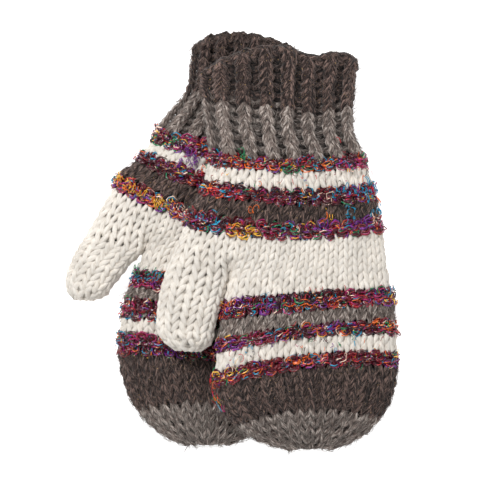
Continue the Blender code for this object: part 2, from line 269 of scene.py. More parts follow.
@dataclass(frozen=True)
class PressedLie(Lie):
    """The back mitten, thinner where the front one rests on it.

    It thins by the share between two places across it.
    """

    from_x: float = -29.0
    to_x: float = 31.0
    share: float = 0.4

    def settle(self, points: Array) -> Array:
        """Heights shrink from the left to the right: 1 less the share times a smooth step in x.

        Args:
            points: the mitten's points as if it lay alone.

        Returns:
            The points as they lie.
        """
        x, y, z = np.moveaxis(points, -1, 0)
        press = smoothstep((x - self.from_x) / (self.to_x - self.from_x))
        return np.stack([x, y, z * (1 - self.share * press)], axis=-1)


@dataclass(frozen=True)
class DrapedLie(Lie):
    """The front mitten, on the back one at its left and on the table at its right.

    The slope starts and ends at hand_x on the hand and at cuff_x on the cuff, and changes from one to the
    other along cuff_y. Softness is the part of it that is an S. At the tip it is less by tip_share.
    """

    height: float = 28.5
    hand_x: tuple[float, float] = (-12.0, 99.0)
    cuff_x: tuple[float, float] = (-15.0, 85.0)
    cuff_y: tuple[float, float] = (21.0, 101.0)
    tip_y: tuple[float, float] = (-99.0, -139.0)
    softness: float = 0.35
    tip_share: float = 0.4

    def settle(self, points: Array) -> Array:
        """Adds a slope that falls from the left to the right, part straight and part S, and less at the tip.

        Args:
            points: the mitten's points as if it lay alone.

        Returns:
            The points as they lie.
        """
        x, y, z = np.moveaxis(points, -1, 0)
        cuff = np.clip((y - self.cuff_y[0]) / (self.cuff_y[1] - self.cuff_y[0]), 0, 1)
        low = self.hand_x[0] + cuff * (self.cuff_x[0] - self.hand_x[0])
        high = self.hand_x[1] + cuff * (self.cuff_x[1] - self.hand_x[1])
        across = np.clip((x - low) / (high - low), 0, 1)
        fall = (1 - self.softness) * across + self.softness * smoothstep(across)
        tip = smoothstep((y - self.tip_y[0]) / (self.tip_y[1] - self.tip_y[0]))
        return np.stack([x, y, z + self.height * (1 - fall) * (1 - self.tip_share * tip)], axis=-1)


@dataclass(frozen=True)
class MittenShape:
    """One mitten's outer surface, from its row lines in plan and its thickness.

    A row line is where a course lies: its left end, its middle and its right end. On it stands an oval
    with rounded edges and a flattened underside. Fullness is the power that rounds its edges, small for a
    boxy edge. The edge dip is how far the cast-on edge sags near its right end.
    """

    name: str
    hand_lines: dict[int, Plan]
    split_line: Plan
    hand_tip: tuple[float, float]
    thumb_lines: dict[int, Plan]
    thumb_tip: tuple[float, float]
    half_thickness: dict[int, float]
    thumb_half_thickness: float
    lie: Lie
    edge_dip: float = 0.0
    dip_place: float = 0.7
    dip_width: float = 0.12
    top_fullness: float = 0.38
    bottom_fullness: float = 0.25
    bottom_press: float = 1.06
    samples: int = 64
    rows_per_course: int = 4

    def _across(self) -> Array:
        """Shares of the width from 0 to 1, closer together towards both edges."""
        return (1 - np.cos(np.linspace(0, np.pi, self.samples + 1))) / 2

    def _line(self, ends: Array, s: Array) -> Array:
        """The parabola through each row line's three points, read at shares of the width.

        Args:
            ends: rows by the three points by 2.
            s: shares of the width.

        Returns:
            Rows by shares by 2.
        """
        weights = np.stack([2 * (s - 0.5) * (s - 1), 4 * s * (1 - s), 2 * s * (s - 0.5)])
        return np.einsum("ks,rkd->rsd", weights, ends)

    def _bulge(self, s: Array) -> Array:
        """How full the top and the bottom are at shares of the width: powers of the rise 4s(1 - s)."""
        rise = np.clip(4 * s * (1 - s), 0, 1)
        return np.stack([rise**self.top_fullness, self.bottom_press * rise**self.bottom_fullness])

    def _oval(self, plan: Array, bulge: Array, half: Array, height: Array) -> tuple[Array, Array]:
        """The top and bottom faces: the half thickness times the bulge, above and below a height.

        Args:
            plan: where the row lines lie, rows by shares by 2.
            bulge: how full the top and the bottom are.
            half: half the thickness.
            height: how high the widest part lies.

        Returns:
            The two faces as they lie, each rows by shares by 3.
        """
        over, under = height + half * bulge[0], np.maximum(height - half * bulge[1], 0.0)
        faces = [np.concatenate([plan, z[..., None]], axis=-1) for z in (over, under)]
        return self.lie.settle(faces[0]), self.lie.settle(faces[1])

    def _wrap(self, rows: Array, over: Array, under: Array, parts: list[tuple[int, int, int]]) -> Fabric:
        """Joins the two faces into closed courses with even spacing.

        Args:
            rows: the grid's rows.
            over: the top face.
            under: the bottom face.
            parts: for each part across, its first and last point and how many steps it gets.

        Returns:
            The fabric.
        """
        last = over.shape[1] - 1
        back = [(last - b, last - a, n) for a, b, n in reversed(parts)]
        return Fabric(rows, np.concatenate([spread(over, parts), spread(under[:, ::-1], back)], axis=1))

    def _rows(self, first: float, last: float) -> Array:
        """Evenly spaced rows of the grid."""
        return np.linspace(first, last, int(round((last - first) * self.rows_per_course)) + 1)

    def _known(self, table: dict[int, Plan], first: int, last: int) -> tuple[Array, Array]:
        """The row lines between two rows.

        Args:
            table: row lines by row.
            first: the first row to take.
            last: the last row to take.

        Returns:
            The rows and their lines, as arrays.
        """
        rows = [row for row in sorted(table) if first <= row <= last]
        return np.array(rows, float), np.array([table[row] for row in rows], float)

    def _thickness(self, rows: Array) -> Array:
        """Half the hand's thickness: a smooth curve through the known ones.

        Args:
            rows: where to read it.

        Returns:
            One value for each row.
        """
        known = np.array(sorted(self.half_thickness), float)
        values = np.array([self.half_thickness[int(row)] for row in known])
        return through(known, values, np.minimum(rows, TIP_ROW))

    def upper(self) -> Fabric:
        """The cuff and the hand down to the last ridge above the thumb.

        The cast-on edge dips by a bell curve across the width that fades out towards the wrist.

        Returns:
            The fabric.
        """
        rows, s = self._rows(0, GUSSET_ROW), self._across()
        ends = through(*self._known(self.hand_lines, 0, GUSSET_ROW), rows)
        half = self._thickness(rows)[:, None] * np.ones_like(s)
        plan = self._line(ends, s)
        dip = np.exp(-(((s - self.dip_place) / self.dip_width) ** 2))
        plan[..., 1] -= self.edge_dip * dip * (1 - smoothstep(rows / WRIST_ROW))[:, None]
        over, under = self._oval(plan, self._bulge(s), half, half)
        return self._wrap(rows, over, under, [(0, self.samples, COURSE_STEPS // 2)])

    def gusset(self) -> Fabric:
        """From that ridge to the crotch, where one wide course turns into the hand's and the thumb's.

        In plan it goes straight from the ridge's line to the two lines at the crotch. Its one wide bulge
        gives way to a bulge for each part by a smooth step of the way down.

        Returns:
            The fabric.
        """
        rows, half_s = self._rows(GUSSET_ROW, CROTCH_ROW), self._across()
        s = np.concatenate([half_s * THUMB_SHARE, (THUMB_SHARE + half_s * (1 - THUMB_SHARE))[1:]])
        ridge = self._line(np.array([self.hand_lines[GUSSET_ROW]], float), s)
        thumb = self._line(np.array([self.split_line], float), half_s)
        hand = self._line(np.array([self.hand_lines[CROTCH_ROW]], float), half_s)
        fork = np.concatenate([thumb, hand[:, 1:]], axis=1)
        share = ((rows - GUSSET_ROW) / (CROTCH_ROW - GUSSET_ROW))[:, None, None]
        plan = (1 - share) * ridge + share * fork
        parts = self._bulge(np.concatenate([half_s, half_s[1:]]))
        split = smoothstep((share[..., 0] - SPLIT_START) / (1 - SPLIT_START))
        bulge = self._bulge(s)[:, None] * (1 - split) + parts[:, None] * split
        half = self._thickness(rows)[:, None]
        half = half + split * (s < THUMB_SHARE) * (self.thumb_half_thickness - half)
        over, under = self._oval(plan, bulge, half, half)
        middle, last = self.samples, 2 * self.samples
        steps = LOOP_STEPS * THUMB_LOOPS // 4, LOOP_STEPS * HAND_LOOPS // 4
        return self._wrap(rows, over, under, [(0, middle, steps[0]), (middle, last, steps[1])])

    def hand(self) -> Fabric:
        """The hand from the crotch to the rounded finger tip.

        Returns:
            The fabric.
        """
        rows, s = self._rows(CROTCH_ROW, END_ROW - 0.25), self._across()
        known = self._known(self.hand_lines, CROTCH_ROW, TIP_ROW)
        return self._rounded(rows, s, known, self.hand_tip, (TIP_ROW, END_ROW), self._thickness(rows))

    def thumb(self) -> Fabric:
        """The thumb from its root to its rounded tip.

        Returns:
            The fabric.
        """
        rows, s = self._rows(0, THUMB_END_ROW - 0.25), self._across()
        known = self._known(self.thumb_lines, 0, THUMB_TIP_ROW)
        half = np.full(len(rows), self.thumb_half_thickness)
        return self._rounded(rows, s, known, self.thumb_tip, (THUMB_TIP_ROW, THUMB_END_ROW), half)

    def _rounded(
        self,
        rows: Array,
        s: Array,
        known: tuple[Array, Array],
        tip: tuple[float, float],
        end: tuple[int, int],
        thickness: Array,
    ) -> Fabric:
        """A tube of fabric whose end closes: width and thickness shrink as the root of 1 less share squared.

        The share is how much of the rounding is passed. At its sides it runs ahead by an arch of 4 times
        share times 1 less share, so that the courses there curve towards the tip.

        Args:
            rows: the grid's rows.
            s: shares of the width.
            known: rows and row lines.
            tip: where the end closes, in plan.
            end: the row where the rounding starts and the row where it closes.
            thickness: half the thickness at each row.

        Returns:
            The fabric.
        """
        ends = through(*known, np.minimum(rows, end[0]))
        share = np.clip((rows - end[0]) / (end[1] - end[0]), 0, 1)[:, None]
        sides = share + 4 * END_ARCH * share * (1 - share)
        base, reach = (ends[:, 0] + ends[:, 2]) / 2, (ends[:, 2] - ends[:, 0]) / 2
        middle = base + share * (np.array(tip) - base) + (ends[:, 1] - base) * (1 - share)
        centre = base + sides * (np.array(tip) - base)
        reach = reach * np.sqrt(1 - sides**2) * np.concatenate([np.ones_like(sides), 1 - sides], axis=1)
        round_off = np.sqrt(1 - share**2)
        ends = np.stack([centre - reach, middle, centre + reach], axis=1)
        half = thickness[:, None] * round_off * np.ones_like(s)
        level = thickness[:, None] * (1 - 0.2 * share**2)
        over, under = self._oval(self._line(ends, s), self._bulge(s), half, level)
        return self._wrap(rows, over, under, [(0, self.samples, COURSE_STEPS // 2)])


class Tubes:
    """Yarns and strands as tubes: rings of points carried along paths, gathered into one mesh."""

    cells_across = 6.0
    cell_fill = 0.9
    along_scale = 0.1

    def __init__(self, rough: float = 0.0) -> None:
        """Starts with no tubes.

        Args:
            rough: how uneven their skins are, as a share of the radius.
        """
        self.rough = rough
        self.rng = np.random.default_rng(5)
        self.verts: list[Array] = []
        self.quads: list[Array] = []
        self.caps: list[Array] = []
        self.yarn_uv: list[Array] = []
        self.dye_and_shade: list[Array] = []
        self.sides: list[int] = []
        self.segments = 0
        self.count = 0

    def add(
        self,
        path: Array,
        normal: Array,
        radii: tuple[Array | float, Array | float],
        sides: int,
        closed: bool,
        dye_and_shade: Array | float = 0.0,
    ) -> None:
        """Adds tubes of one length.

        A skin point is the path's point plus one radius times the cosine of an angle along the surface plus
        the other radius times its sine out of the surface, both square to the path.

        Args:
            path: tubes by points by 3, in millimetres.
            normal: the way the ellipse's second radius points, the same shape as path.
            radii: the ellipse's radius along the surface and out of it, numbers or tubes by points.
            sides: corners of each ring.
            closed: True if each path closes on itself; an open tube gets a flat cap on each end.
            dye_and_shade: for silk the colour value of each path point, for wool its depth between the loops,
                which is painted as shade; a number or tubes by points.
        """
        tubes, points, _ = path.shape
        if closed:
            tangent = unit(np.roll(path, -1, axis=1) - np.roll(path, 1, axis=1))
        else:
            tangent = unit(np.gradient(path, axis=1))
        side = unit(np.cross(tangent, normal))
        out = np.cross(side, tangent)
        angle = 2 * np.pi * np.arange(sides) / sides
        wide, deep = (np.broadcast_to(np.asarray(r, float), (tubes, points)) for r in radii)
        ring = (
            wide[..., None, None] * np.cos(angle)[:, None] * side[:, :, None]
            + deep[..., None, None] * np.sin(angle)[:, None] * out[:, :, None]
        )
        verts = path[:, :, None] + ring
        index = self.count + np.arange(tubes * points * sides).reshape(tubes, points, sides)
        ahead = np.roll(index, -1, axis=1) if closed else index[:, 1:]
        here = index if closed else index[:, :-1]
        quads = np.stack([here, ahead, np.roll(ahead, -1, axis=2), np.roll(here, -1, axis=2)], axis=-1)
        steps = np.linalg.norm(np.roll(path, -1, axis=1) - path, axis=2)
        length = np.concatenate([np.zeros((tubes, 1)), np.cumsum(steps, axis=1)], axis=1)
        start, stop = length[:, : quads.shape[1], None], length[:, 1 : quads.shape[1] + 1, None]
        left = np.broadcast_to(np.arange(sides) / sides, quads.shape[:3])
        u = np.stack([start + 0 * left, stop + 0 * left, stop + 0 * left, start + 0 * left], axis=-1)
        v = np.stack([left, left, left + 1 / sides, left + 1 / sides], axis=-1)
        if self.rough:
            verts = verts + self.rough * self.rng.normal(0, 1, (*verts.shape[:-1], 1)) * ring
        self.verts.append(verts.reshape(-1, 3))
        self.quads.append(quads.reshape(-1, 4))
        self.yarn_uv.append(np.stack([u, v], axis=-1).reshape(-1, 4, 2))
        dyes = np.broadcast_to(np.asarray(dye_and_shade, float), (tubes, points))
        self.dye_and_shade.append(dyes.repeat(sides, axis=1).ravel())
        if not closed:
            self.caps.append(np.concatenate([index[:, 0], index[:, -1, ::-1]]))
        self.sides.append(sides)
        self.count += tubes * points * sides
        self.segments += tubes * quads.shape[1]

    def _strip_uv(self) -> Array:
        """A map with each segment of each tube in a cell of its own, the cells in rows, none overlapping.

        Returns:
            Quads by 4 corners by 2.
        """
        sizes = np.array([len(q) for q in self.quads])
        sides = np.repeat(self.sides, sizes)
        place = np.concatenate([np.arange(size) for size in sizes])
        before = np.concatenate([[0], np.cumsum(sizes // np.array(self.sides))[:-1]])
        segment = place // sides + np.repeat(before, sizes)
        across = int(np.ceil(np.sqrt(self.segments * self.cells_across)))
        down = int(np.ceil(self.segments / across))
        low = (place % sides) / sides
        v = np.stack([low, low, low + 1 / sides, low + 1 / sides], axis=1)
        v = v * self.cell_fill + (1 - self.cell_fill) / 2
        u = (segment % across)[:, None] + np.array([0.0, 1.0, 1.0, 0.0])
        return np.stack([u / across, ((segment // across)[:, None] + v) / down], axis=-1)

    def mesh(self, name: str) -> bpy.types.Mesh:
        """The gathered tubes as one smooth mesh in metres, with its maps and the per-point value for silk's
        colour and wool's painted shade.

        A height z under the table gap g becomes g times the exponential of z over g less 1, so that yarn
        lies on the table and doesn't go through it.

        Args:
            name: the mesh's name.

        Returns:
            The mesh.
        """
        verts = np.concatenate(self.verts) * MM
        low = verts[:, 2] < TABLE_GAP
        verts[low, 2] = np.maximum(TABLE_GAP * np.exp(verts[low, 2] / TABLE_GAP - 1), 0.0)
        quads = np.concatenate(self.quads)
        corners = np.concatenate([quads.ravel()] + [cap.ravel() for cap in self.caps])
        totals = [np.full(len(quads), 4)] + [np.full(len(cap), cap.shape[1]) for cap in self.caps]
        totals = np.concatenate(totals)
        starts = np.concatenate([[0], np.cumsum(totals)[:-1]])
        mesh = bpy.data.meshes.new(name)
        mesh.vertices.add(len(verts))
        mesh.vertices.foreach_set("co", verts.astype(np.float32).ravel())
        mesh.loops.add(len(corners))
        mesh.loops.foreach_set("vertex_index", corners.astype(np.int32))
        mesh.polygons.add(len(totals))
        mesh.polygons.foreach_set("loop_start", starts.astype(np.int32))
        mesh.polygons.foreach_set("loop_total", totals.astype(np.int32))
        mesh.update(calc_edges=True)
        extra = np.zeros((len(corners) - quads.size, 2))
        yarn_uv = np.concatenate(self.yarn_uv) * (self.along_scale, 1.0)
        maps = {"Yarn": yarn_uv, "OFBake": self._strip_uv()}
        for map_name, values in maps.items():
            layer = mesh.uv_layers.new(name=map_name)
            flat = np.concatenate([values.reshape(-1, 2), extra]).astype(np.float32)
            layer.data.foreach_set("uv", flat.ravel())
        # Per point: for silk its colour value, for wool its depth between the loops, which the wool's
        # material paints as shade.
        dye_and_shade = mesh.attributes.new("dye_and_shade", "FLOAT", "POINT")
        dye_and_shade.data.foreach_set("value", np.concatenate(self.dye_and_shade).astype(np.float32))
        mesh.polygons.foreach_set("use_smooth", np.ones(len(totals), bool))
        return mesh


class Graph:
    """A material's or a group's nodes, with short ways to add and join them."""

    def __init__(self, tree: bpy.types.NodeTree) -> None:
        """Works on a node tree."""
        self.tree = tree

    def add(self, kind: str, inputs: dict | None = None, **settings: object) -> bpy.types.Node:
        """A new node.

        Args:
            kind: the node's type.
            inputs: values or sockets for its inputs, by name or number.
            settings: the node's own properties.

        Returns:
            The node.
        """
        node = self.tree.nodes.new(kind)
        for name, value in settings.items():
            setattr(node, name, value)
        for key, value in (inputs or {}).items():
            if isinstance(value, Socket):
                self.tree.links.new(value, node.inputs[key])
            else:
                node.inputs[key].default_value = value
        return node

    def math(self, operation: str, *values: object) -> Socket:
        """The result of a Math node on numbers or sockets."""
        return self.add("ShaderNodeMath", dict(enumerate(values)), operation=operation).outputs[0]

    def mix(self, factor: object, first: object, second: object, blend: str = "MIX") -> Socket:
        """Two colours mixed by a factor.

        Args:
            factor: how much of the second, a number or a socket.
            first: a colour or a socket.
            second: a colour or a socket.
            blend: the way of mixing.

        Returns:
            The mixed colour.
        """
        node = self.add("ShaderNodeMix", data_type="RGBA", blend_type=blend)
        for key, value in ((0, factor), (6, first), (7, second)):
            if isinstance(value, Socket):
                self.tree.links.new(value, node.inputs[key])
            else:
                node.inputs[key].default_value = value
        return node.outputs[2]

    def ramp(
        self, factor: object, stops: list[tuple[float, Colour]], steps: bool = False
    ) -> Socket:
        """A colour ramp.

        Args:
            factor: where it is read.
            stops: places and their colours, in rising order.
            steps: True if each colour holds until the next stop.

        Returns:
            The colour.
        """
        node = self.add("ShaderNodeValToRGB", {0: factor})
        node.color_ramp.interpolation = "CONSTANT" if steps else "LINEAR"
        elements = node.color_ramp.elements
        elements[1].position, elements[0].position = stops[-1][0], stops[0][0]
        for position, _ in stops[1:-1]:
            elements.new(position)
        for element, (_, colour) in zip(elements, stops):
            element.color = (*colour, 1.0)
        return node.outputs[0]

    def grey(self, value: Socket) -> Socket:
        """A grey as light as a value."""
        return self.add("ShaderNodeCombineColor", {channel: value for channel in range(3)}).outputs[0]

    def noise(self, place: Socket, **settings: float) -> Socket:
        """A noise texture's value at a place, its settings given by the names of its sockets."""
        return self.add("ShaderNodeTexNoise", {"Vector": place, **settings}).outputs[0]

    def tone(self, value: Socket, low: float, high: float) -> Socket:
        """A noise's usual values stretched from low to high."""
        return self.add("ShaderNodeMapRange", {0: value, 1: 0.3, 2: 0.7, 3: low, 4: high}).outputs[0]

    def bump(self, height: Socket, distance: float, strength: float) -> Socket:
        """A normal bent by a height over a distance in metres."""
        inputs = {"Height": height, "Distance": distance, "Strength": strength}
        return self.add("ShaderNodeBump", inputs).outputs[0]

def shared_group(
    name: str, inputs: dict[str, tuple[str, float]], outputs: list[str]
) -> tuple[bpy.types.NodeTree, Graph]:
    """A new node group with float outputs and its inputs' starting values, ready to be filled in.

    Args:
        name: the group's name.
        inputs: for each input, its socket type and starting value.
        outputs: the names of its float outputs.

    Returns:
        The group and a graph that works on it.
    """
    tree = bpy.data.node_groups.new(name, "ShaderNodeTree")
    for key, (kind, value) in inputs.items():
        socket = tree.interface.new_socket(name=key, in_out="INPUT", socket_type=kind)
        if kind == "NodeSocketFloat":
            socket.default_value = value
    for key in outputs:
        tree.interface.new_socket(name=key, in_out="OUTPUT", socket_type="NodeSocketFloat")
    return tree, Graph(tree)


def fibre_group() -> bpy.types.NodeTree:
    """Fibres laid along a yarn and turning round it with the twist, as a mask and a height.

    The yarn's own map is stretched along its length and slid round it in step with the length, then read
    by two noises, one broad for tufts and one fine for single fibres. The plies are the size of the sine of
    five half turns of that slid map, so grooves wind round the yarn.

    Returns:
        The group.
    """
    found = bpy.data.node_groups.get("spun_fibres")
    if found:
        return found
    tree, graph = shared_group(
        "spun_fibres",
        {
            "Map": ("NodeSocketVector", 0.0),
            "Twist": ("NodeSocketFloat", 0.12),
            "Fibres": ("NodeSocketFloat", 6.0),
            "Stretch": ("NodeSocketFloat", 1.3),
        },
        ["Tufts", "Strands", "Plies"],
    )
    given = graph.add("NodeGroupInput").outputs
    split = graph.add("ShaderNodeSeparateXYZ", {0: given["Map"]}).outputs
    turned = graph.math("ADD", split[1], graph.math("MULTIPLY", split[0], given["Twist"]))
    along = graph.math("MULTIPLY", split[0], given["Stretch"])
    round_yarn = graph.math("MULTIPLY", turned, given["Fibres"])
    spot = graph.add("ShaderNodeCombineXYZ", {0: along, 1: round_yarn}).outputs[0]
    tufts = graph.noise(spot, Scale=0.45, Detail=2.0)
    strands = graph.noise(spot, Scale=1.7, Detail=3.0, Roughness=0.65)
    wave = graph.math("SINE", graph.math("MULTIPLY", turned, 5 * np.pi))
    result = graph.add("NodeGroupOutput")
    tree.links.new(graph.math("ABSOLUTE", wave), result.inputs["Plies"])
    tree.links.new(tufts, result.inputs["Tufts"])
    tree.links.new(strands, result.inputs["Strands"])
    return tree


@dataclass(frozen=True)
class Finish:
    """What a piece is made of: the material's name and the slot it fills."""

    name: str
    slot: str

    def material(self) -> bpy.types.Material:
        """The finish as a material, made once.

        Returns:
            The material.
        """
        found = bpy.data.materials.get(self.name)
        if found:
            return found
        made = bpy.data.materials.new(self.name)
        made.use_nodes = True
        shader = made.node_tree.nodes["Principled BSDF"]
        colour, normal = self.dress(Graph(made.node_tree), shader)
        made.node_tree.links.new(colour, shader.inputs["Base Color"])
        made.node_tree.links.new(normal, shader.inputs["Normal"])
        return made

    def dress(self, graph: Graph, shader: bpy.types.Node) -> tuple[Socket, Socket]:
        """Sets the shader's gloss and makes its colour and normal; each finish has its own."""
        raise NotImplementedError

    @staticmethod
    def fibres(graph: Graph, count: float) -> bpy.types.bpy_prop_collection:
        """The fibre masks on the yarn's own map.

        Args:
            graph: the material's nodes.
            count: how many fibres lie round the yarn.

        Returns:
            The group's outputs.
        """
        yarn_map = graph.add("ShaderNodeUVMap", uv_map="Yarn").outputs[0]
        group = graph.add("ShaderNodeGroup", {"Map": yarn_map, "Fibres": count}, node_tree=fibre_group())
        return group.outputs


@dataclass(frozen=True)
class WoolFinish(Finish):
    """Wool yarn: fibres of three shades along the yarn, a few odd specks, and a soft bloom at its edges.

    Specks is the share of odd spots. Contrast narrows the step from dark to light. Relief is how strongly
    the fibres and the plies stand out. Rough is the yarn's unevenness as a share of its radius, fuzz the
    radius of its loose fibres in millimetres, and shade how strongly painted shade darkens it deep between
    the loops.
    """

    dark: Colour
    middle: Colour
    light: Colour
    speck: Colour = (0.0, 0.0, 0.0)
    specks: float = 0.0
    fibre_count: float = 6.0
    contrast: float = 1.0
    relief: float = 0.6
    plies: float = 0.3
    sheen: float = 0.1
    rough: float = 0.1
    fuzz: float = 0.19
    # How strongly painted shade darkens the yarn deep between the loops.
    shade: float = 0.75
    half_step: float = 0.16
    patches: tuple[float, float] = (0.86, 1.1)

    def dress(self, graph: Graph, shader: bpy.types.Node) -> tuple[Socket, Socket]:
        """A colour from the fibres, varied in patches, with painted shade in the recesses, and a fibrous
        normal.

        Args:
            graph: the material's nodes.
            shader: its shader.

        Returns:
            The colour and the normal.
        """
        fibres = self.fibres(graph, self.fibre_count)
        tufts, strands = fibres["Tufts"], fibres["Strands"]
        wide = self.half_step / self.contrast
        shade = graph.math("ADD", graph.math("MULTIPLY", strands, 0.75), graph.math("MULTIPLY", tufts, 0.25))
        colour = graph.ramp(shade, [(0.5 - wide, self.dark), (0.5, self.middle), (0.5 + wide, self.light)])
        place = graph.add("ShaderNodeTexCoord").outputs["Object"]
        patch = graph.noise(place, Scale=90.0, Detail=2.0)
        tone = graph.tone(patch, *self.patches)
        # The mesh's per-point depth between the loops, used below to paint shade into the recesses.
        recess = graph.add("ShaderNodeAttribute", attribute_name="dye_and_shade").outputs["Fac"]
        tone = graph.math("MULTIPLY", tone, graph.math("MULTIPLY_ADD", recess, -self.shade, 1.0))
        colour = graph.mix(1.0, colour, graph.grey(tone), "MULTIPLY")
        if self.specks:
            here = graph.math("GREATER_THAN", graph.noise(place, Scale=900.0, Detail=1.0), 1.0 - self.specks)
            colour = graph.mix(here, colour, (*self.speck, 1.0))
        relief = graph.math("ADD", strands, graph.math("MULTIPLY", fibres["Plies"], self.plies))
        shader.inputs["Roughness"].default_value = 0.92
        shader.inputs["Specular IOR Level"].default_value = 0.25
        shader.inputs["Sheen Weight"].default_value = self.sheen
        shader.inputs["Sheen Roughness"].default_value = 0.6
        return colour, graph.bump(relief, 0.0012, self.relief)


@dataclass(frozen=True)
class SilkFinish(Finish):
    """Spun silk in many dyes: each stretch of a strand takes its colour from its dye value.

    Dyes is where each colour starts on the scale of dye values. Tones is how dark and light the fibres
    make them; its light end, above the dye's own colour, is partly a painted highlight standing in for
    glints.
    """

    dyes: tuple[tuple[float, Colour], ...]
    fibre_count: float = 3.0
    fibre_tones_and_glints: tuple[float, float] = (0.35, 2.0)

    def dress(self, graph: Graph, shader: bpy.types.Node) -> tuple[Socket, Socket]:
        """The dye's colour times the fibres' tone, which at its light end is partly a painted highlight,
        glossy, with a fine fibrous normal.

        Args:
            graph: the material's nodes.
            shader: its shader.

        Returns:
            The colour and the normal.
        """
        dye_and_shade = graph.add("ShaderNodeAttribute", attribute_name="dye_and_shade").outputs["Fac"]
        colour = graph.ramp(dye_and_shade, list(self.dyes), steps=True)
        strands = self.fibres(graph, self.fibre_count)["Strands"]
        # Random fibre tone whose light end brightens the dye past its own colour: partly fibre variation,
        # partly painted glints.
        tone = graph.tone(strands, *self.fibre_tones_and_glints)
        shader.inputs["Roughness"].default_value = 0.18
        shader.inputs["Specular IOR Level"].default_value = 0.7
        return graph.mix(1.0, colour, graph.grey(tone), "MULTIPLY"), graph.bump(strands, 0.0004, 0.5)


@dataclass(frozen=True)
class FleeceFinish(Finish):
    """The lining's brushed pile: nearly black, rough and nubbly."""

    dark: Colour
    light: Colour

    def dress(self, graph: Graph, shader: bpy.types.Node) -> tuple[Socket, Socket]:
        """Two shades and a relief from one fine noise.

        Args:
            graph: the material's nodes.
            shader: its shader.

        Returns:
            The colour and the normal.
        """
        place = graph.add("ShaderNodeTexCoord").outputs["Object"]
        nubs = graph.noise(place, Scale=700.0, Detail=3.0)
        shader.inputs["Roughness"].default_value = 0.97
        shader.inputs["Sheen Weight"].default_value = 0.2
        return graph.ramp(nubs, [(0.35, self.dark), (0.7, self.light)]), graph.bump(nubs, 0.001, 0.8)


DARK_WOOL = WoolFinish(
    name="dark_brown_yarn",
    slot="dark_wool",
    dark=(0.006, 0.003, 0.0025),
    middle=(0.031, 0.018, 0.0155),
    light=(0.23, 0.150, 0.125),
    speck=(0.42, 0.27, 0.11),
    specks=0.26,
    contrast=1.7,
    relief=0.9,
)
DARK_FUZZ = WoolFinish(
    name="loose_brown_fibre",
    slot="dark_wool",
    dark=(0.012, 0.007, 0.006),
    middle=(0.13, 0.088, 0.074),
    light=(0.66, 0.50, 0.42),
)
GREY_WOOL = WoolFinish(
    name="heather_grey_yarn",
    slot="grey_wool",
    dark=(0.030, 0.020, 0.017),
    middle=(0.17, 0.13, 0.112),
    light=(0.58, 0.51, 0.46),
    speck=(0.02, 0.015, 0.012),
    specks=0.27,
    contrast=1.4,
    relief=0.9,
)
GREY_FUZZ = WoolFinish(
    name="loose_grey_fibre",
    slot="grey_wool",
    dark=(0.03, 0.02, 0.017),
    middle=(0.26, 0.22, 0.195),
    light=(0.72, 0.66, 0.61),
)
CREAM_WOOL = WoolFinish(
    name="cream_yarn",
    slot="cream_wool",
    dark=(0.48, 0.42, 0.35),
    middle=(0.68, 0.635, 0.575),
    light=(0.77, 0.74, 0.69),
    fibre_count=5.0,
    contrast=0.7,
    relief=0.2,
    rough=0.03,
    fuzz=0.1,
    shade=0.4,
)
FUZZ = {DARK_WOOL.name: DARK_FUZZ, GREY_WOOL.name: GREY_FUZZ, CREAM_WOOL.name: CREAM_WOOL}
SILK = SilkFinish(
    name="dyed_silk_yarn",
    slot="silk_mix",
    dyes=(
        (0.00, (0.055, 0.006, 0.012)),
        (0.27, (0.20, 0.011, 0.020)),
        (0.43, (0.48, 0.024, 0.028)),
        (0.50, (0.17, 0.030, 0.26)),
        (0.57, (0.38, 0.022, 0.12)),
        (0.63, (0.014, 0.006, 0.014)),
        (0.73, (0.000, 0.28, 0.47)),
        (0.80, (0.74, 0.14, 0.020)),
        (0.86, (0.78, 0.43, 0.045)),
        (0.90, (0.012, 0.20, 0.08)),
        (0.95, (0.85, 0.60, 0.48)),
    ),
)
FLEECE = FleeceFinish(
    name="brushed_fleece", slot="fleece", dark=(0.012, 0.011, 0.011), light=(0.045, 0.040, 0.040)
)


@dataclass(frozen=True)
class Loops:
    """The shape of the loops in a course, in stitches, rows and millimetres."""

    stitch: Stitch
    lean: float = 0.27
    reach: float = 0.93
    depth: float = 1.1
    base: float = -2.0
    wide: float = 1.95
    deep: float = 1.6
    rib_relief: float = 1.6
    uneven: float = 0.03
    # How much a loop's head and foot count as deep, which sets painted shade there and keeps loose fibres off
    # them.
    hidden: float = 0.9
    points: int = 12
    sides: int = 7


STOCKINETTE = Loops(Stitch.KNIT, lean=0.255, depth=1.3, wide=1.9, deep=1.7, base=-2.1)
FUZZY = Loops(Stitch.KNIT, lean=0.29, depth=1.8, wide=1.85, deep=1.7, base=-2.3, uneven=0.045)
RIBBING = Loops(Stitch.RIB, lean=0.32, depth=1.3, wide=2.5, deep=1.9, base=-3.1, rib_relief=2.1, uneven=0.05)
CAST_ON = Loops(Stitch.PURL, lean=0.0, reach=0.3, depth=0.5, wide=2.1, deep=1.9, base=-2.4, hidden=0.0)
PURL_RIDGE = Loops(Stitch.PURL, lean=0.15, reach=0.6, depth=1.0, base=-0.4, wide=1.3, deep=1.1, uneven=0.08)


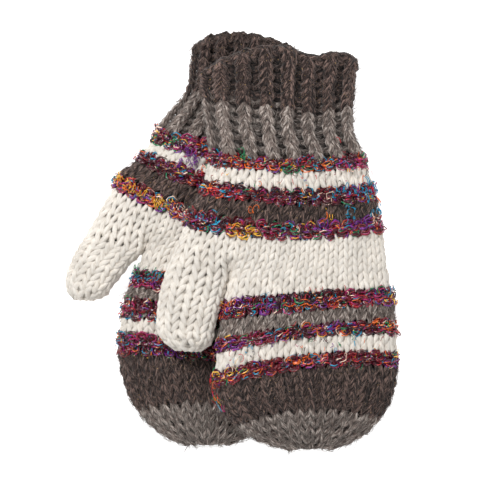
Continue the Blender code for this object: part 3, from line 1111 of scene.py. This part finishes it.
@dataclass(frozen=True)
class Course:
    """One course: the row it lies on and how many loops go round."""

    row: float
    loops: int
    shape: Loops

    def path(self, fabric: Fabric, rng: Rng, last_row: float) -> tuple[Array, Array, Array, Array]:
        """The yarn's middle line and the fabric's normal along it.

        The line is k + lean sin 2t around and row + reach cos t along, where t is one turn for each loop k,
        and its height is the depth times -cos 2t, so a knitted loop's legs are in front and its head and
        foot behind; a purl loop is the other way round, and a rib goes from one to the other.

        Args:
            fabric: the surface it is knitted on.
            rng: the source of the hand's unevenness.
            last_row: the fabric's last row, which no loop passes.

        Returns:
            Points by 3 for the line and for the normal, the size of a loop against a usual one, and how far
            back each point lies, from 0 on a leg to 1 between two ribs.
        """
        shape = self.shape
        k = np.arange(self.loops * shape.points) / shape.points
        t = 2 * np.pi * k
        if shape.stitch is Stitch.RIB:
            face = np.clip(1.6 * np.cos(np.pi * k), -1, 1)
        else:
            face = np.full(len(k), 1.0 if shape.stitch is Stitch.KNIT else -1.0)
        turns = k / self.loops
        waves = tuple(range(1, self.loops // 2))
        around = k + shape.lean * np.sin(2 * t) + shape.uneven * wave_noise(rng, turns, waves)
        reach = shape.reach * np.where(face < 0, 0.8 if shape.stitch is Stitch.RIB else 1.0, 1.0)
        rows = self.row + reach * np.cos(t) + shape.uneven * wave_noise(rng, turns, waves)
        height = shape.base - shape.depth * face * np.cos(2 * t) + 0.25 * wave_noise(rng, turns, waves)
        if shape.stitch is Stitch.RIB:
            height = height + shape.rib_relief * face
        rows = np.minimum(rows, last_row)
        around = around / self.loops
        middle = fabric.place(turns, np.full(len(k), min(self.row, last_row)), 0.0)
        pitch = np.linalg.norm(np.roll(middle, -1, axis=0) - middle, axis=1).sum() / self.loops
        size = float(np.clip(pitch / 8.0, 0.65, 1.08))
        between = np.clip(-face, 0, 1) if shape.stitch is Stitch.RIB else 0.0
        # How far back each point lies; the wool's material darkens its colour by this as painted shade in the
        # recesses.
        recess = np.maximum(between, shape.hidden * np.clip(np.cos(2 * t), 0, 1))
        return fabric.place(around, rows, height), fabric.normal(around, rows), np.full(len(k), size), recess


@dataclass(frozen=True)
class Band:
    """One band of a mitten: its rows, its loops round the mitten, its yarn and its stitch."""

    name: str
    first: int
    last: int
    loops: int
    finish: WoolFinish | SilkFinish
    shape: Loops
    hairs: int = 260


BANDS = (
    Band("cuff_dark", 0, 6, 30, DARK_WOOL, RIBBING, 3600),
    Band("cuff_grey", 6, WRIST_ROW, 30, GREY_WOOL, RIBBING, 2400),
    Band("ridge_1", WRIST_ROW, 14, 30, SILK, PURL_RIDGE),
    Band("stripe_cream_upper", 14, 16, 30, CREAM_WOOL, STOCKINETTE, 80),
    Band("ridge_2", 16, 18, 32, SILK, PURL_RIDGE),
    Band("stripe_dark", 18, 20, 32, DARK_WOOL, FUZZY, 1600),
    Band("ridge_3", 20, GUSSET_ROW, 34, SILK, PURL_RIDGE),
    Band("palm_gusset", GUSSET_ROW, CROTCH_ROW, 42, CREAM_WOOL, STOCKINETTE, 240),
    Band("palm_cream", CROTCH_ROW, 29, 32, CREAM_WOOL, STOCKINETTE, 80),
    Band("ridge_4", 29, KNUCKLE_ROW, 32, SILK, PURL_RIDGE),
    Band("stripe_grey", KNUCKLE_ROW, 33, 32, GREY_WOOL, FUZZY, 1200),
    Band("ridge_5", 33, 35, 32, SILK, PURL_RIDGE),
    Band("stripe_cream_lower", 35, 37, 32, CREAM_WOOL, STOCKINETTE, 80),
    Band("ridge_6", 37, TIP_ROW, 32, SILK, PURL_RIDGE),
    Band("fingers_dark", TIP_ROW, 44, 32, DARK_WOOL, FUZZY, 3600),
    Band("tip_grey", 44, END_ROW, 32, GREY_WOOL, FUZZY, 2400),
)


@dataclass(frozen=True)
class Tangle:
    """Loose silk curls over a stretch of a ridge.

    They start from places around and rows. They have a number, a size, dyes, a lean and a height.
    """

    around: tuple[float, float]
    rows: tuple[float, float]
    count: int
    size: tuple[float, float] = (0.6, 2.0)
    dye_and_shade: tuple[float, float] = (0.3, 0.999)
    drift: float = 2.0
    lift: tuple[float, float] = (0.8, 2.6)


RED, PURPLE, BLUE, ORANGE = (0.43, 0.50), (0.50, 0.57), (0.73, 0.80), (0.80, 0.86)
AMBER, GOLD, GREEN, PALE = (0.80, 0.90), (0.845, 0.90), (0.90, 0.95), (0.95, 0.999)
TANGLES = {
    ("front", "ridge_1"): (
        Tangle((0.41, 0.43), (9.6, 12.0), 3, (2.0, 3.4), RED),
        Tangle((0.10, 0.12), (11.0, 12.4), 14, (0.8, 2.0), GREEN),
        Tangle((0.00, 0.50), (13.9, 16.0), 60, (0.8, 2.0), lift=(1.8, 3.4)),
    ),
    ("front", "ridge_2"): (
        Tangle((0.455, 0.50), (16.2, 19.6), 26, (1.2, 3.0), BLUE),
        Tangle((0.36, 0.50), (15.7, 17.4), 44, (0.8, 2.2), BLUE),
        Tangle((0.47, 0.49), (16.4, 17.4), 5, (1.5, 2.6), RED),
    ),
    ("front", "ridge_3"): (
        Tangle((0.46, 0.49), (19.0, 20.6), 7, (1.2, 2.8), PALE),
        Tangle((0.15, 0.165), (18.9, 19.6), 3, (2.0, 3.0), AMBER),
        Tangle((0.33, 0.36), (18.6, 19.9), 10, (0.8, 1.8), AMBER),
        Tangle((0.39, 0.42), (18.4, 19.8), 12, (0.8, 2.0), BLUE),
    ),
    ("front", "ridge_4"): (
        Tangle((0.20, 0.36), (28.2, 29.2), 6, (1.6, 2.6), RED),
        Tangle((0.10, 0.14), (28.6, 29.3), 4, (1.5, 2.2), BLUE),
        Tangle((0.00, 0.05), (29.0, 31.0), 14, (0.8, 1.8), ORANGE),
        Tangle((0.45, 0.49), (28.9, 30.2), 12, (1.0, 2.2), (0.64, 0.80)),
    ),
    ("front", "ridge_5"): (Tangle((0.00, 0.50), (34.8, 37.2), 60, (0.8, 2.0), lift=(1.8, 3.4)),),
    ("front", "ridge_6"): (Tangle((0.00, 0.03), (38.0, 41.5), 26, (0.8, 2.4), drift=4.0),),
    ("back", "ridge_1"): (Tangle((0.13, 0.18), (13.9, 15.9), 50, (0.9, 2.2), PURPLE, lift=(1.6, 3.4)),),
    ("back", "ridge_3"): (
        Tangle((0.00, 0.18), (20.2, 21.8), 120, (0.6, 1.8), GOLD),
        Tangle((0.00, 0.01), (20.6, 21.6), 10, (0.6, 1.8), BLUE),
    ),
    ("back", "ridge_4"): (
        Tangle((0.00, 0.16), (28.7, 29.4), 26, (1.0, 2.2), GREEN),
        Tangle((0.00, 0.16), (29.2, 30.6), 26, (0.6, 1.6), BLUE),
    ),
}


@dataclass(frozen=True)
class Bend:
    """Fabric that turns between two bodies: the bodies and where the turn starts and ends, in metres."""

    near: str
    far: str
    start: tuple[float, float, float]
    end: tuple[float, float, float]


def evened(loops: int, share: float) -> int:
    """Fewer loops where the mitten narrows: an even number, in steps of four."""
    return max(8, 4 * int(round(loops * share / 4)))


@dataclass
class Mitten:
    """One mitten with all its pieces."""

    shape: MittenShape
    bends: dict[str, Bend]
    seed: int
    pieces: list[bpy.types.Object] = field(default_factory=list)

    def __post_init__(self) -> None:
        """Samples the four stretches of fabric."""
        self.upper = self.shape.upper()
        self.gusset = self.shape.gusset()
        self.hand = self.shape.hand()
        self.thumb = self.shape.thumb()

    def _fabric(self, band: Band) -> Fabric:
        """The stretch of fabric that a band is part of.

        Args:
            band: the band.

        Returns:
            The fabric.
        """
        if band.first < GUSSET_ROW:
            return self.upper
        return self.gusset if band.first < CROTCH_ROW else self.hand

    def _rng(self, name: str) -> Rng:
        """A source of chance for one piece, the same on every run."""
        return np.random.default_rng([self.seed, *name.encode()])

    def add(self, name: str, mesh: bpy.types.Mesh, finish: Finish, node: str) -> None:
        """Puts a piece into the scene, in its finish: a piece on a bend is fixed where it lies, any other
        rides on the body of the node it stands for or goes with.

        Args:
            name: the piece's name, without the mitten's.
            mesh: its mesh.
            finish: what it is made of.
            node: the CAD node it stands for, or whose body it rides on, without the mitten's name.
        """
        full = f"{self.shape.name}_{name}"
        piece = bpy.data.objects.new(full + "_knit" if name == node else full, mesh)
        bpy.context.scene.collection.objects.link(piece)
        mesh.materials.append(finish.material())
        bend = self.bends.get(node)
        cad = f"{self.shape.name}_{node}"
        if bend:
            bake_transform(piece)
        else:
            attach(piece, bpy.data.objects[cad]["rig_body"])
        if name == node:
            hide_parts(cad)
        self.pieces.append(piece)
        log.info("%s: %d faces", piece.name, len(mesh.polygons))

    def knit(self, tubes: Tubes, fabric: Fabric, course: Course, rng: Rng, last: float) -> Array:
        """Adds one course to the tubes.

        Args:
            tubes: where it is added.
            fabric: the surface it is knitted on.
            course: the course.
            rng: the source of chance.
            last: the last row that it may reach.

        Returns:
            For each place on a leg of its loops: the yarn's point, the fabric's normal and the yarn's way.
        """
        line, normal, size, recess = course.path(fabric, rng, last)
        radii = (course.shape.wide * size[None], course.shape.deep * size[None])
        # The depth goes into the mesh, where the wool's material paints it as shade.
        tubes.add(line[None], normal[None], radii, course.shape.sides, True, recess[None])
        way = unit(np.roll(line, -1, axis=0) - np.roll(line, 1, axis=0))
        return np.stack([line, normal, way], axis=1)[recess < 0.5]

    def wool_band(self, band: Band) -> None:
        """A band of plain yarn, with its courses evened out where the tip narrows, and its loose fibres.

        Args:
            band: the band.
        """
        rng, fabric, tubes = self._rng(band.name), self._fabric(band), Tubes(band.finish.rough)
        last = END_ROW - HAND_GAP if band.last == END_ROW else NO_LIMIT
        legs = []
        if band.first == 0:
            legs.append(self.knit(tubes, fabric, Course(0.15, band.loops, CAST_ON), rng, last))
        for row in np.arange(band.first, band.last) + 0.5:
            share = np.sqrt(1 - np.clip((row - TIP_ROW - 3) / (END_ROW - TIP_ROW - 3), 0, 1) ** 2)
            loops = evened(band.loops, share) if share < 1 else band.loops
            legs.append(self.knit(tubes, fabric, Course(row, loops, band.shape), rng, last))
        if band.last == END_ROW:
            self.gather(tubes, legs[-1][:, 0], legs[-4][:, 0], band.shape)
        self.add(band.name, tubes.mesh(band.name), band.finish, band.name)
        self.hairs(band.name, np.concatenate(legs), band.hairs, band.finish)

    def gather(self, tubes: Tubes, last: Array, before: Array, shape: Loops) -> None:
        """Draws the last course together with yarns from each side of the opening to the other.

        Each yarn is a straight line between two points half the course apart, bowed a little outward.

        Args:
            tubes: where the yarns are added.
            last: the last course's points.
            before: the points of a course before it, to know which way is outward.
            shape: the yarn's size.
        """
        out = unit(last.mean(axis=0) - before.mean(axis=0))
        near = last[np.arange(6) * len(last) // 12]
        far = last[np.arange(6) * len(last) // 12 + len(last) // 2]
        t = np.linspace(0, 1, 7)[None, :, None]
        path = (1 - t) * near[:, None] + t * far[:, None] + 1.2 * np.sin(np.pi * t) * out
        tubes.add(path, np.broadcast_to(out, path.shape), (shape.wide, shape.deep * 0.8), 7, False)

    def hairs(self, node: str, legs: Array, count: int, finish: WoolFinish) -> None:
        """Fine loose fibres on the legs of the loops, as thin three-sided strands.

        Each runs mostly along its yarn: root + length times t, plus a bow of t squared to one side, rising
        off the yarn with t. Three in ten go any way.

        Args:
            node: the CAD node they go with.
            legs: the places they can start from, each a point, a normal and the yarn's way.
            count: how many there are.
            finish: their wool.
        """
        rng, tubes = self._rng(node + "hairs"), Tubes()
        root, normal, along = np.moveaxis(legs[rng.integers(0, len(legs), count)], 1, 0)
        side = np.cross(normal, along)
        root = root + rng.uniform(1.0, 1.9, (count, 1)) * normal + rng.uniform(-1.6, 1.6, (count, 1)) * side
        loose = np.where(rng.uniform(0, 1, count) < 0.3, 1.3, 0.3)
        angle = (loose * rng.normal(0, 1, count) + np.pi * rng.integers(0, 2, count))[:, None]
        ahead = np.cos(angle) * along + np.sin(angle) * side
        beside = np.cross(normal, ahead)
        t = np.linspace(0, 1, 4)[None, :, None]
        length = rng.gamma(3.0, 1.0, count)[:, None, None] + 0.8
        bow, rise = rng.normal(0, 1.0, (2, count))[..., None, None]
        path = root[:, None] + length * t * ahead[:, None] + bow * t**2 * beside[:, None]
        path = path + (np.abs(rise) * 1.1 - 0.5) * t**1.5 * normal[:, None]
        radius = (finish.fuzz * rng.uniform(0.5, 1.3, count))[:, None] * (1 - 0.6 * t[..., 0])
        tubes.add(path, np.broadcast_to(normal[:, None], path.shape), (radius, radius), 3, False)
        self.add(node + "_hairs", tubes.mesh(node + "_hairs"), FUZZ[finish.name], node)

    def silk_band(self, band: Band) -> None:
        """A ridge of two purl courses in loosely spun silk: a core with strands wandering round it.

        A strand's middle line is the core's plus a distance from it in a direction that turns slowly along
        the yarn, both random waves.

        Args:
            band: the band.
        """
        rng, fabric, tubes = self._rng(band.name), self._fabric(band), Tubes()
        for row in np.arange(band.first, band.last) + 0.5:
            line, normal, *_ = Course(row, band.loops, band.shape).path(fabric, rng, NO_LIMIT)
            wide = np.full((1, len(line)), band.shape.wide)
            tubes.add(line[None], normal[None], (wide, wide), 6, True, dye_and_shade=0.05)
            self.strands(tubes, line, normal, band.loops, 11, rng)
        whole = Tangle((0.0, 1.0), (band.first - 0.1, band.last + 0.1), 60)
        for tangle in (whole, *TANGLES.get((self.shape.name, band.name), ())):
            self.curls(tubes, fabric, tangle, rng)
        self.add(band.name, tubes.mesh(band.name), band.finish, band.name)

    def strands(self, tubes: Tubes, line: Array, normal: Array, loops: int, count: int, rng: Rng) -> None:
        """Fine strands that wander round a yarn's middle line, each dyed in stretches.

        Args:
            tubes: where they are added.
            line: the yarn's middle line.
            normal: the fabric's normal along it.
            loops: how many loops the line has.
            count: how many strands there are.
            rng: the source of chance.
        """
        tangent = unit(np.roll(line, -1, axis=0) - np.roll(line, 1, axis=0))
        side = unit(np.cross(tangent, normal))
        out = np.cross(side, tangent)
        turns = np.arange(len(line)) / len(line)
        paths, dyes = [], []
        main_dyes = self.dyes(rng, len(line), loops // 2)
        for strand in range(count):
            twist = rng.integers(loops // 3, loops)
            wander = wave_noise(rng, turns, tuple(range(3, loops)))
            angle = 2 * np.pi * (strand / count + twist * turns) + 1.4 * wander
            slow, quick = tuple(range(2, loops)), tuple(range(loops, 3 * loops))
            away = 1.5 + 0.6 * wave_noise(rng, turns, slow) + 0.45 * wave_noise(rng, turns, quick)
            away = away[:, None]
            paths.append(line + away * (np.cos(angle)[:, None] * side + np.sin(angle)[:, None] * out))
            alike = self.dyes(rng, len(line), 3 * loops) < 0.4
            dyes.append(np.where(alike, main_dyes, self.dyes(rng, len(line), 4 * loops)))
        radius = rng.uniform(0.28, 0.52, (count, 1))
        facing = np.broadcast_to(normal, (count, *normal.shape))
        tubes.add(np.array(paths), facing, (radius, radius), 3, True, np.array(dyes))

    @staticmethod
    def dyes(rng: Rng, points: int, stretches: int) -> Array:
        """Dye values along a strand: one random value held for each stretch.

        Args:
            rng: the source of chance.
            points: how many points the strand has.
            stretches: how many stretches of one dye.

        Returns:
            One value for each point.
        """
        values = rng.uniform(0, 0.999, stretches)
        edges = np.sort(rng.uniform(0, points, stretches - 1))
        return values[np.searchsorted(edges, np.arange(points))]

    def curls(self, tubes: Tubes, fabric: Fabric, tangle: Tangle, rng: Rng) -> None:
        """Loose silk curls: part turns of a circle that stand off the ridge and lean to one side.

        Args:
            tubes: where they are added.
            fabric: the surface under them.
            tangle: where they lie, and how many and how large they are.
            rng: the source of chance.
        """
        count = tangle.count
        around, row = rng.uniform(*tangle.around, count), rng.uniform(*tangle.rows, count)
        foot, normal = fabric.place(around, row, rng.uniform(*tangle.lift, count)), fabric.normal(around, row)
        along = unit(fabric.place(around, row + 0.1, 0.0) - fabric.place(around, row - 0.1, 0.0))
        side = np.cross(normal, along)
        t = np.linspace(0, 1, 14)[None, :, None]
        start, sweep, radius, rise, drift = (
            value[:, None, None]
            for value in (
                rng.uniform(0, 2 * np.pi, count),
                rng.uniform(1.5, 6.0, count) * rng.choice([-1, 1], count),
                rng.uniform(*tangle.size, count),
                rng.uniform(0.2, 2.2, count),
                rng.normal(0, tangle.drift, count),
            )
        )
        angle = start + sweep * t
        radius = radius * (0.6 + 0.8 * t * np.cos(start)) * (1 + 0.35 * np.sin(7 * t + sweep))
        path = foot[:, None] + radius * (np.cos(angle) * along[:, None] + 0.7 * np.sin(angle) * side[:, None])
        path = path + rise * np.sin(np.pi * t) * normal[:, None] + drift * t * along[:, None]
        path = path + rng.normal(0, 1.0, (count, 1, 1)) * t**2 * side[:, None]
        thin = rng.uniform(0.15, 0.34, count)[:, None] * np.ones((1, 14))
        dye_and_shade = rng.uniform(*tangle.dye_and_shade, count)[:, None] * np.ones((1, 14))
        tubes.add(path, np.broadcast_to(normal[:, None], path.shape), (thin, thin), 3, False, dye_and_shade)

    def thumb_piece(self) -> None:
        """The knitted thumb, closed at its tip, with its loose fibres."""
        rng, tubes, legs = self._rng("thumb"), Tubes(CREAM_WOOL.rough), []
        for row in np.arange(0, THUMB_END_ROW) + 0.5:
            share = np.sqrt(1 - np.clip((row - THUMB_TIP_ROW) / (THUMB_END_ROW - THUMB_TIP_ROW), 0, 1) ** 2)
            loops = max(6, 2 * int(round(THUMB_LOOPS * share / 2)))
            course = Course(row, loops, STOCKINETTE)
            legs.append(self.knit(tubes, self.thumb, course, rng, THUMB_END_ROW - THUMB_GAP))
        self.gather(tubes, legs[-1][:, 0], legs[-4][:, 0], STOCKINETTE)
        self.add("thumb", tubes.mesh("thumb"), CREAM_WOOL, "thumb")
        self.hairs("thumb", np.concatenate(legs), 120, CREAM_WOOL)

    def liner(self, name: str, fabric: Fabric, rows: tuple[float, float], node: str) -> None:
        """A stretch of the fleece lining: a closed skin between two depths under the fabric's surface.

        Args:
            name: the piece's name.
            fabric: the knitting that it lines.
            rows: its first and last row.
            node: the CAD node it stands for or goes with.
        """
        around = np.arange(96) / 96
        row = np.linspace(*rows, max(int((rows[1] - rows[0]) * 2), 4))
        row, depth = np.concatenate([row, row[::-1]]), np.repeat([-5.2, -6.6], len(row))
        points = fabric.place(*np.broadcast_arrays(around[None], row[:, None]), depth[:, None])
        index = np.arange(len(row) * 96).reshape(len(row), 96)
        ahead = np.roll(index, -1, axis=0)
        quads = np.stack([index, np.roll(index, -1, axis=1), np.roll(ahead, -1, axis=1), ahead], axis=-1)
        mesh = bpy.data.meshes.new(name)
        mesh.from_pydata((points.reshape(-1, 3) * MM).tolist(), [], quads.reshape(-1, 4).tolist())
        mesh.polygons.foreach_set("use_smooth", np.ones(len(mesh.polygons), bool))
        self.add(name, mesh, FLEECE, node)

    def build(self) -> None:
        """Knits every band, the thumb and the lining."""
        for band in BANDS:
            if isinstance(band.finish, SilkFinish):
                self.silk_band(band)
            else:
                self.wool_band(band)
        self.thumb_piece()
        self.liner("liner_wrist", self.upper, (WRIST_ROW + 0.6, GUSSET_ROW), "liner_wrist")
        self.liner("liner_gusset", self.gusset, (GUSSET_ROW, CROTCH_ROW), "palm_gusset")
        self.liner("liner_palm", self.hand, (CROTCH_ROW, KNUCKLE_ROW), "liner_palm")
        self.liner("liner_fingers", self.hand, (KNUCKLE_ROW, END_ROW - 0.8), "liner_fingers")
        self.liner("liner_thumb", self.thumb, (0, THUMB_END_ROW - 0.6), "liner_thumb")


BACK_SHAPE = MittenShape(
    name="back",
    hand_lines={
        0: ((-26, 131.5), (11.5, 137.5), (52.5, 121.5)),
        6: ((-30.5, 101.5), (8.5, 97.5), (49, 87)),
        WRIST_ROW: ((-50.5, 75.5), (-5.5, 63.5), (44.5, 50.5)),
        14: ((-54, 67.5), (-8.5, 54.5), (44, 41)),
        16: ((-60.5, 60), (-12.5, 43), (43, 32)),
        18: ((-64.5, 54.5), (-15, 34.5), (43, 23)),
        20: ((-75.5, 45.5), (-19, 19.5), (43, 11)),
        GUSSET_ROW: ((-79.5, 37.5), (-20.5, 11.5), (43, 2)),
        CROTCH_ROW: ((-59, -5.5), (-9.5, -18), (43, -28.5)),
        29: ((-64.5, -20), (-12.5, -27), (42.5, -38)),
        KNUCKLE_ROW: ((-68, -29), (-14, -36.5), (42, -46.5)),
        33: ((-72, -38), (-16, -46.5), (41, -56.5)),
        35: ((-74.5, -50), (-16.5, -56.5), (41, -66)),
        37: ((-76, -61.5), (-18, -67.5), (40.5, -76)),
        TIP_ROW: ((-76.5, -73.5), (-18.5, -78), (40, -86)),
    },
    split_line=((-99, 3.5), (-79, -3.5), (-59, -5.5)),
    hand_tip=(-17, -139.5),
    thumb_lines={
        0: ((-99, 3.5), (-79, -3.5), (-59, -5.5)),
        3: ((-106.5, -9), (-89, -16), (-71.5, -18)),
        THUMB_TIP_ROW: ((-112, -22), (-98, -30), (-83.5, -33.5)),
    },
    thumb_tip=(-101, -41),
    half_thickness={0: 10.5, 6: 11.0, WRIST_ROW: 12.0, 20: 13.0, TIP_ROW: 13.0},
    thumb_half_thickness=12.5,
    lie=PressedLie(),
)
FRONT_SHAPE = MittenShape(
    name="front",
    hand_lines={
        0: ((-20, 111.5), (32, 128), (84.5, 121)),
        6: ((-18.5, 95), (32, 90), (80.5, 91)),
        9: ((-16.5, 78), (34, 72), (81, 75)),
        WRIST_ROW: ((-14, 59), (36.5, 54), (88, 58)),
        14: ((-16, 52), (36.5, 48), (90, 51.5)),
        16: ((-18, 39.5), (36.5, 33.5), (93.5, 38)),
        18: ((-21, 33), (36.5, 26), (96, 29)),
        20: ((-28.5, 20.5), (35, 11.5), (98, 16.5)),
        GUSSET_ROW: ((-31, 11), (34.5, 2.5), (101, 8)),
        CROTCH_ROW: ((-2.5, -25), (50.5, -23), (103.5, -19)),
        29: ((-5, -40), (50.5, -35), (106, -32)),
        KNUCKLE_ROW: ((-7, -50), (50.5, -44.5), (108, -40.5)),
        33: ((-9, -66), (50, -56), (109, -54)),
        35: ((-10, -72.5), (49, -62.5), (109.5, -61.5)),
        37: ((-11, -87.5), (49, -76), (110, -75.5)),
        TIP_ROW: ((-12, -95), (49, -83), (110, -83.5)),
    },
    split_line=((-44, -19), (-23, -24), (-2.5, -25)),
    hand_tip=(52, -141.5),
    thumb_lines={
        0: ((-44, -19), (-23, -24), (-2.5, -25)),
        3: ((-48.5, -38), (-28, -42.5), (-7.5, -41)),
        THUMB_TIP_ROW: ((-50, -56), (-30.5, -60), (-12.5, -59)),
    },
    thumb_tip=(-29, -74),
    half_thickness={0: 11.5, 6: 12.0, WRIST_ROW: 12.5, 20: 14.5, TIP_ROW: 15.0},
    thumb_half_thickness=13.0,
    lie=DrapedLie(),
    edge_dip=7.0,
)

WRIST_BEND = Bend("front_hand", "front_cuff", (0.037, 0.054, 0.04), (0.038, 0.090, 0.04))
FINGER_BEND = Bend("front_hand", "front_fingers", (0.0514, -0.043, 0.04), (0.0542, -0.076, 0.04))
FRONT_THUMB_BEND = Bend("front_hand", "front_thumb", (-0.007, -0.007, 0.03), (-0.028, -0.028, 0.03))
BACK_THUMB_BEND = Bend("back_hand", "back_thumb", (-0.062, 0.010, 0.0), (-0.090, -0.012, 0.0))
WRIST_PIECES = ("cuff_grey", "ridge_1", "stripe_cream_upper", "ridge_2", "liner_wrist")
FINGER_PIECES = (
    "palm_cream",
    "ridge_4",
    "stripe_grey",
    "ridge_5",
    "stripe_cream_lower",
    "liner_palm",
    "liner_fingers",
)
THUMB_PIECES = ("palm_gusset", "thumb", "liner_thumb")


@dataclass(frozen=True)
class Studio:
    """The plain floor, the soft lights and the camera that looks straight down."""

    floor_size: float = 6.0
    floor_colour: Colour = (0.93, 0.93, 0.93)
    camera_over: tuple[float, float] = (0.005, 0.001)
    view_width: float = 0.3216
    aim_height: float = 0.025
    lens: float = 200.0
    sky: float = 0.40
    lamps: tuple[tuple[str, tuple[float, float, float], float, float], ...] = (
        ("key_lamp", (-0.45, 0.75, 1.3), 0.5, 22.0),
        ("fill_lamp", (0.6, -1.0, 1.4), 1.0, 7.5),
    )

    def build(self) -> None:
        """Makes the floor, lamps, sky and camera."""
        self._floor()
        for lamp in self.lamps:
            self._lamp(*lamp)
        self._sky()
        self._camera()
        bpy.context.scene.view_settings.view_transform = "Standard"

    def _sky(self) -> None:
        """A white sky: it lights softly, and where it is seen it is as pale as the floor."""
        world = bpy.data.worlds.new("soft_sky")
        world.use_nodes = True
        background = world.node_tree.nodes["Background"]
        background.inputs["Color"].default_value = (1.0, 1.0, 1.0, 1.0)
        seen = world.node_tree.nodes.new("ShaderNodeLightPath").outputs["Is Camera Ray"]
        strength = world.node_tree.nodes.new("ShaderNodeMapRange")
        strength.inputs["To Min"].default_value = self.sky
        strength.inputs["To Max"].default_value = 1.0
        world.node_tree.links.new(seen, strength.inputs["Value"])
        world.node_tree.links.new(strength.outputs["Result"], background.inputs["Strength"])
        bpy.context.scene.world = world

    def _floor(self) -> None:
        """A flat square at the height that the mittens lie on."""
        half = self.floor_size / 2
        mesh = bpy.data.meshes.new("floor")
        corners = [(-half, -half, 0), (half, -half, 0), (half, half, 0), (-half, half, 0)]
        mesh.from_pydata(corners, [], [(0, 1, 2, 3)])
        floor = bpy.data.objects.new("floor", mesh)
        bpy.context.scene.collection.objects.link(floor)
        material = bpy.data.materials.new("floor")
        material.use_nodes = True
        shader = material.node_tree.nodes["Principled BSDF"]
        shader.inputs["Base Color"].default_value = (*self.floor_colour, 1.0)
        shader.inputs["Roughness"].default_value = 0.9
        shader.inputs["Emission Color"].default_value = (1.0, 1.0, 1.0, 1.0)
        shader.inputs["Emission Strength"].default_value = 0.8
        mesh.materials.append(material)

    def _lamp(self, name: str, place: tuple[float, float, float], size: float, power: float) -> None:
        """A square area lamp that faces the mittens.

        Args:
            name: the lamp's name.
            place: where it hangs, in metres.
            size: the length of its sides.
            power: its power in watts.
        """
        data = bpy.data.lights.new(name, "AREA")
        data.size, data.energy = size, power
        lamp = bpy.data.objects.new(name, data)
        bpy.context.scene.collection.objects.link(lamp)
        lamp.location = place
        lamp.rotation_euler = (-lamp.location).to_track_quat("-Z", "Y").to_euler()

    def _camera(self) -> None:
        """A long lens straight above, as far up as it takes to see the view's width at the aim height."""
        data = bpy.data.cameras.new("camera")
        data.lens = self.lens
        camera = bpy.data.objects.new("camera", data)
        bpy.context.scene.collection.objects.link(camera)
        distance = self.view_width * self.lens / data.sensor_width
        camera.location = (*self.camera_over, self.aim_height + distance)
        bpy.context.scene.camera = camera


def main() -> None:
    """Loads the frame, knits both mittens and sets the stage."""
    logging.basicConfig(level=logging.INFO, format="%(message)s")
    for thing in list(bpy.data.objects):
        bpy.data.objects.remove(thing)
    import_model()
    front_bends = {name: WRIST_BEND for name in WRIST_PIECES}
    front_bends |= {name: FINGER_BEND for name in FINGER_PIECES}
    front_bends |= {name: FRONT_THUMB_BEND for name in THUMB_PIECES}
    Mitten(BACK_SHAPE, {name: BACK_THUMB_BEND for name in THUMB_PIECES}, seed=3).build()
    Mitten(FRONT_SHAPE, front_bends, seed=8).build()
    Studio().build()


if __name__ == "__main__":
    main()
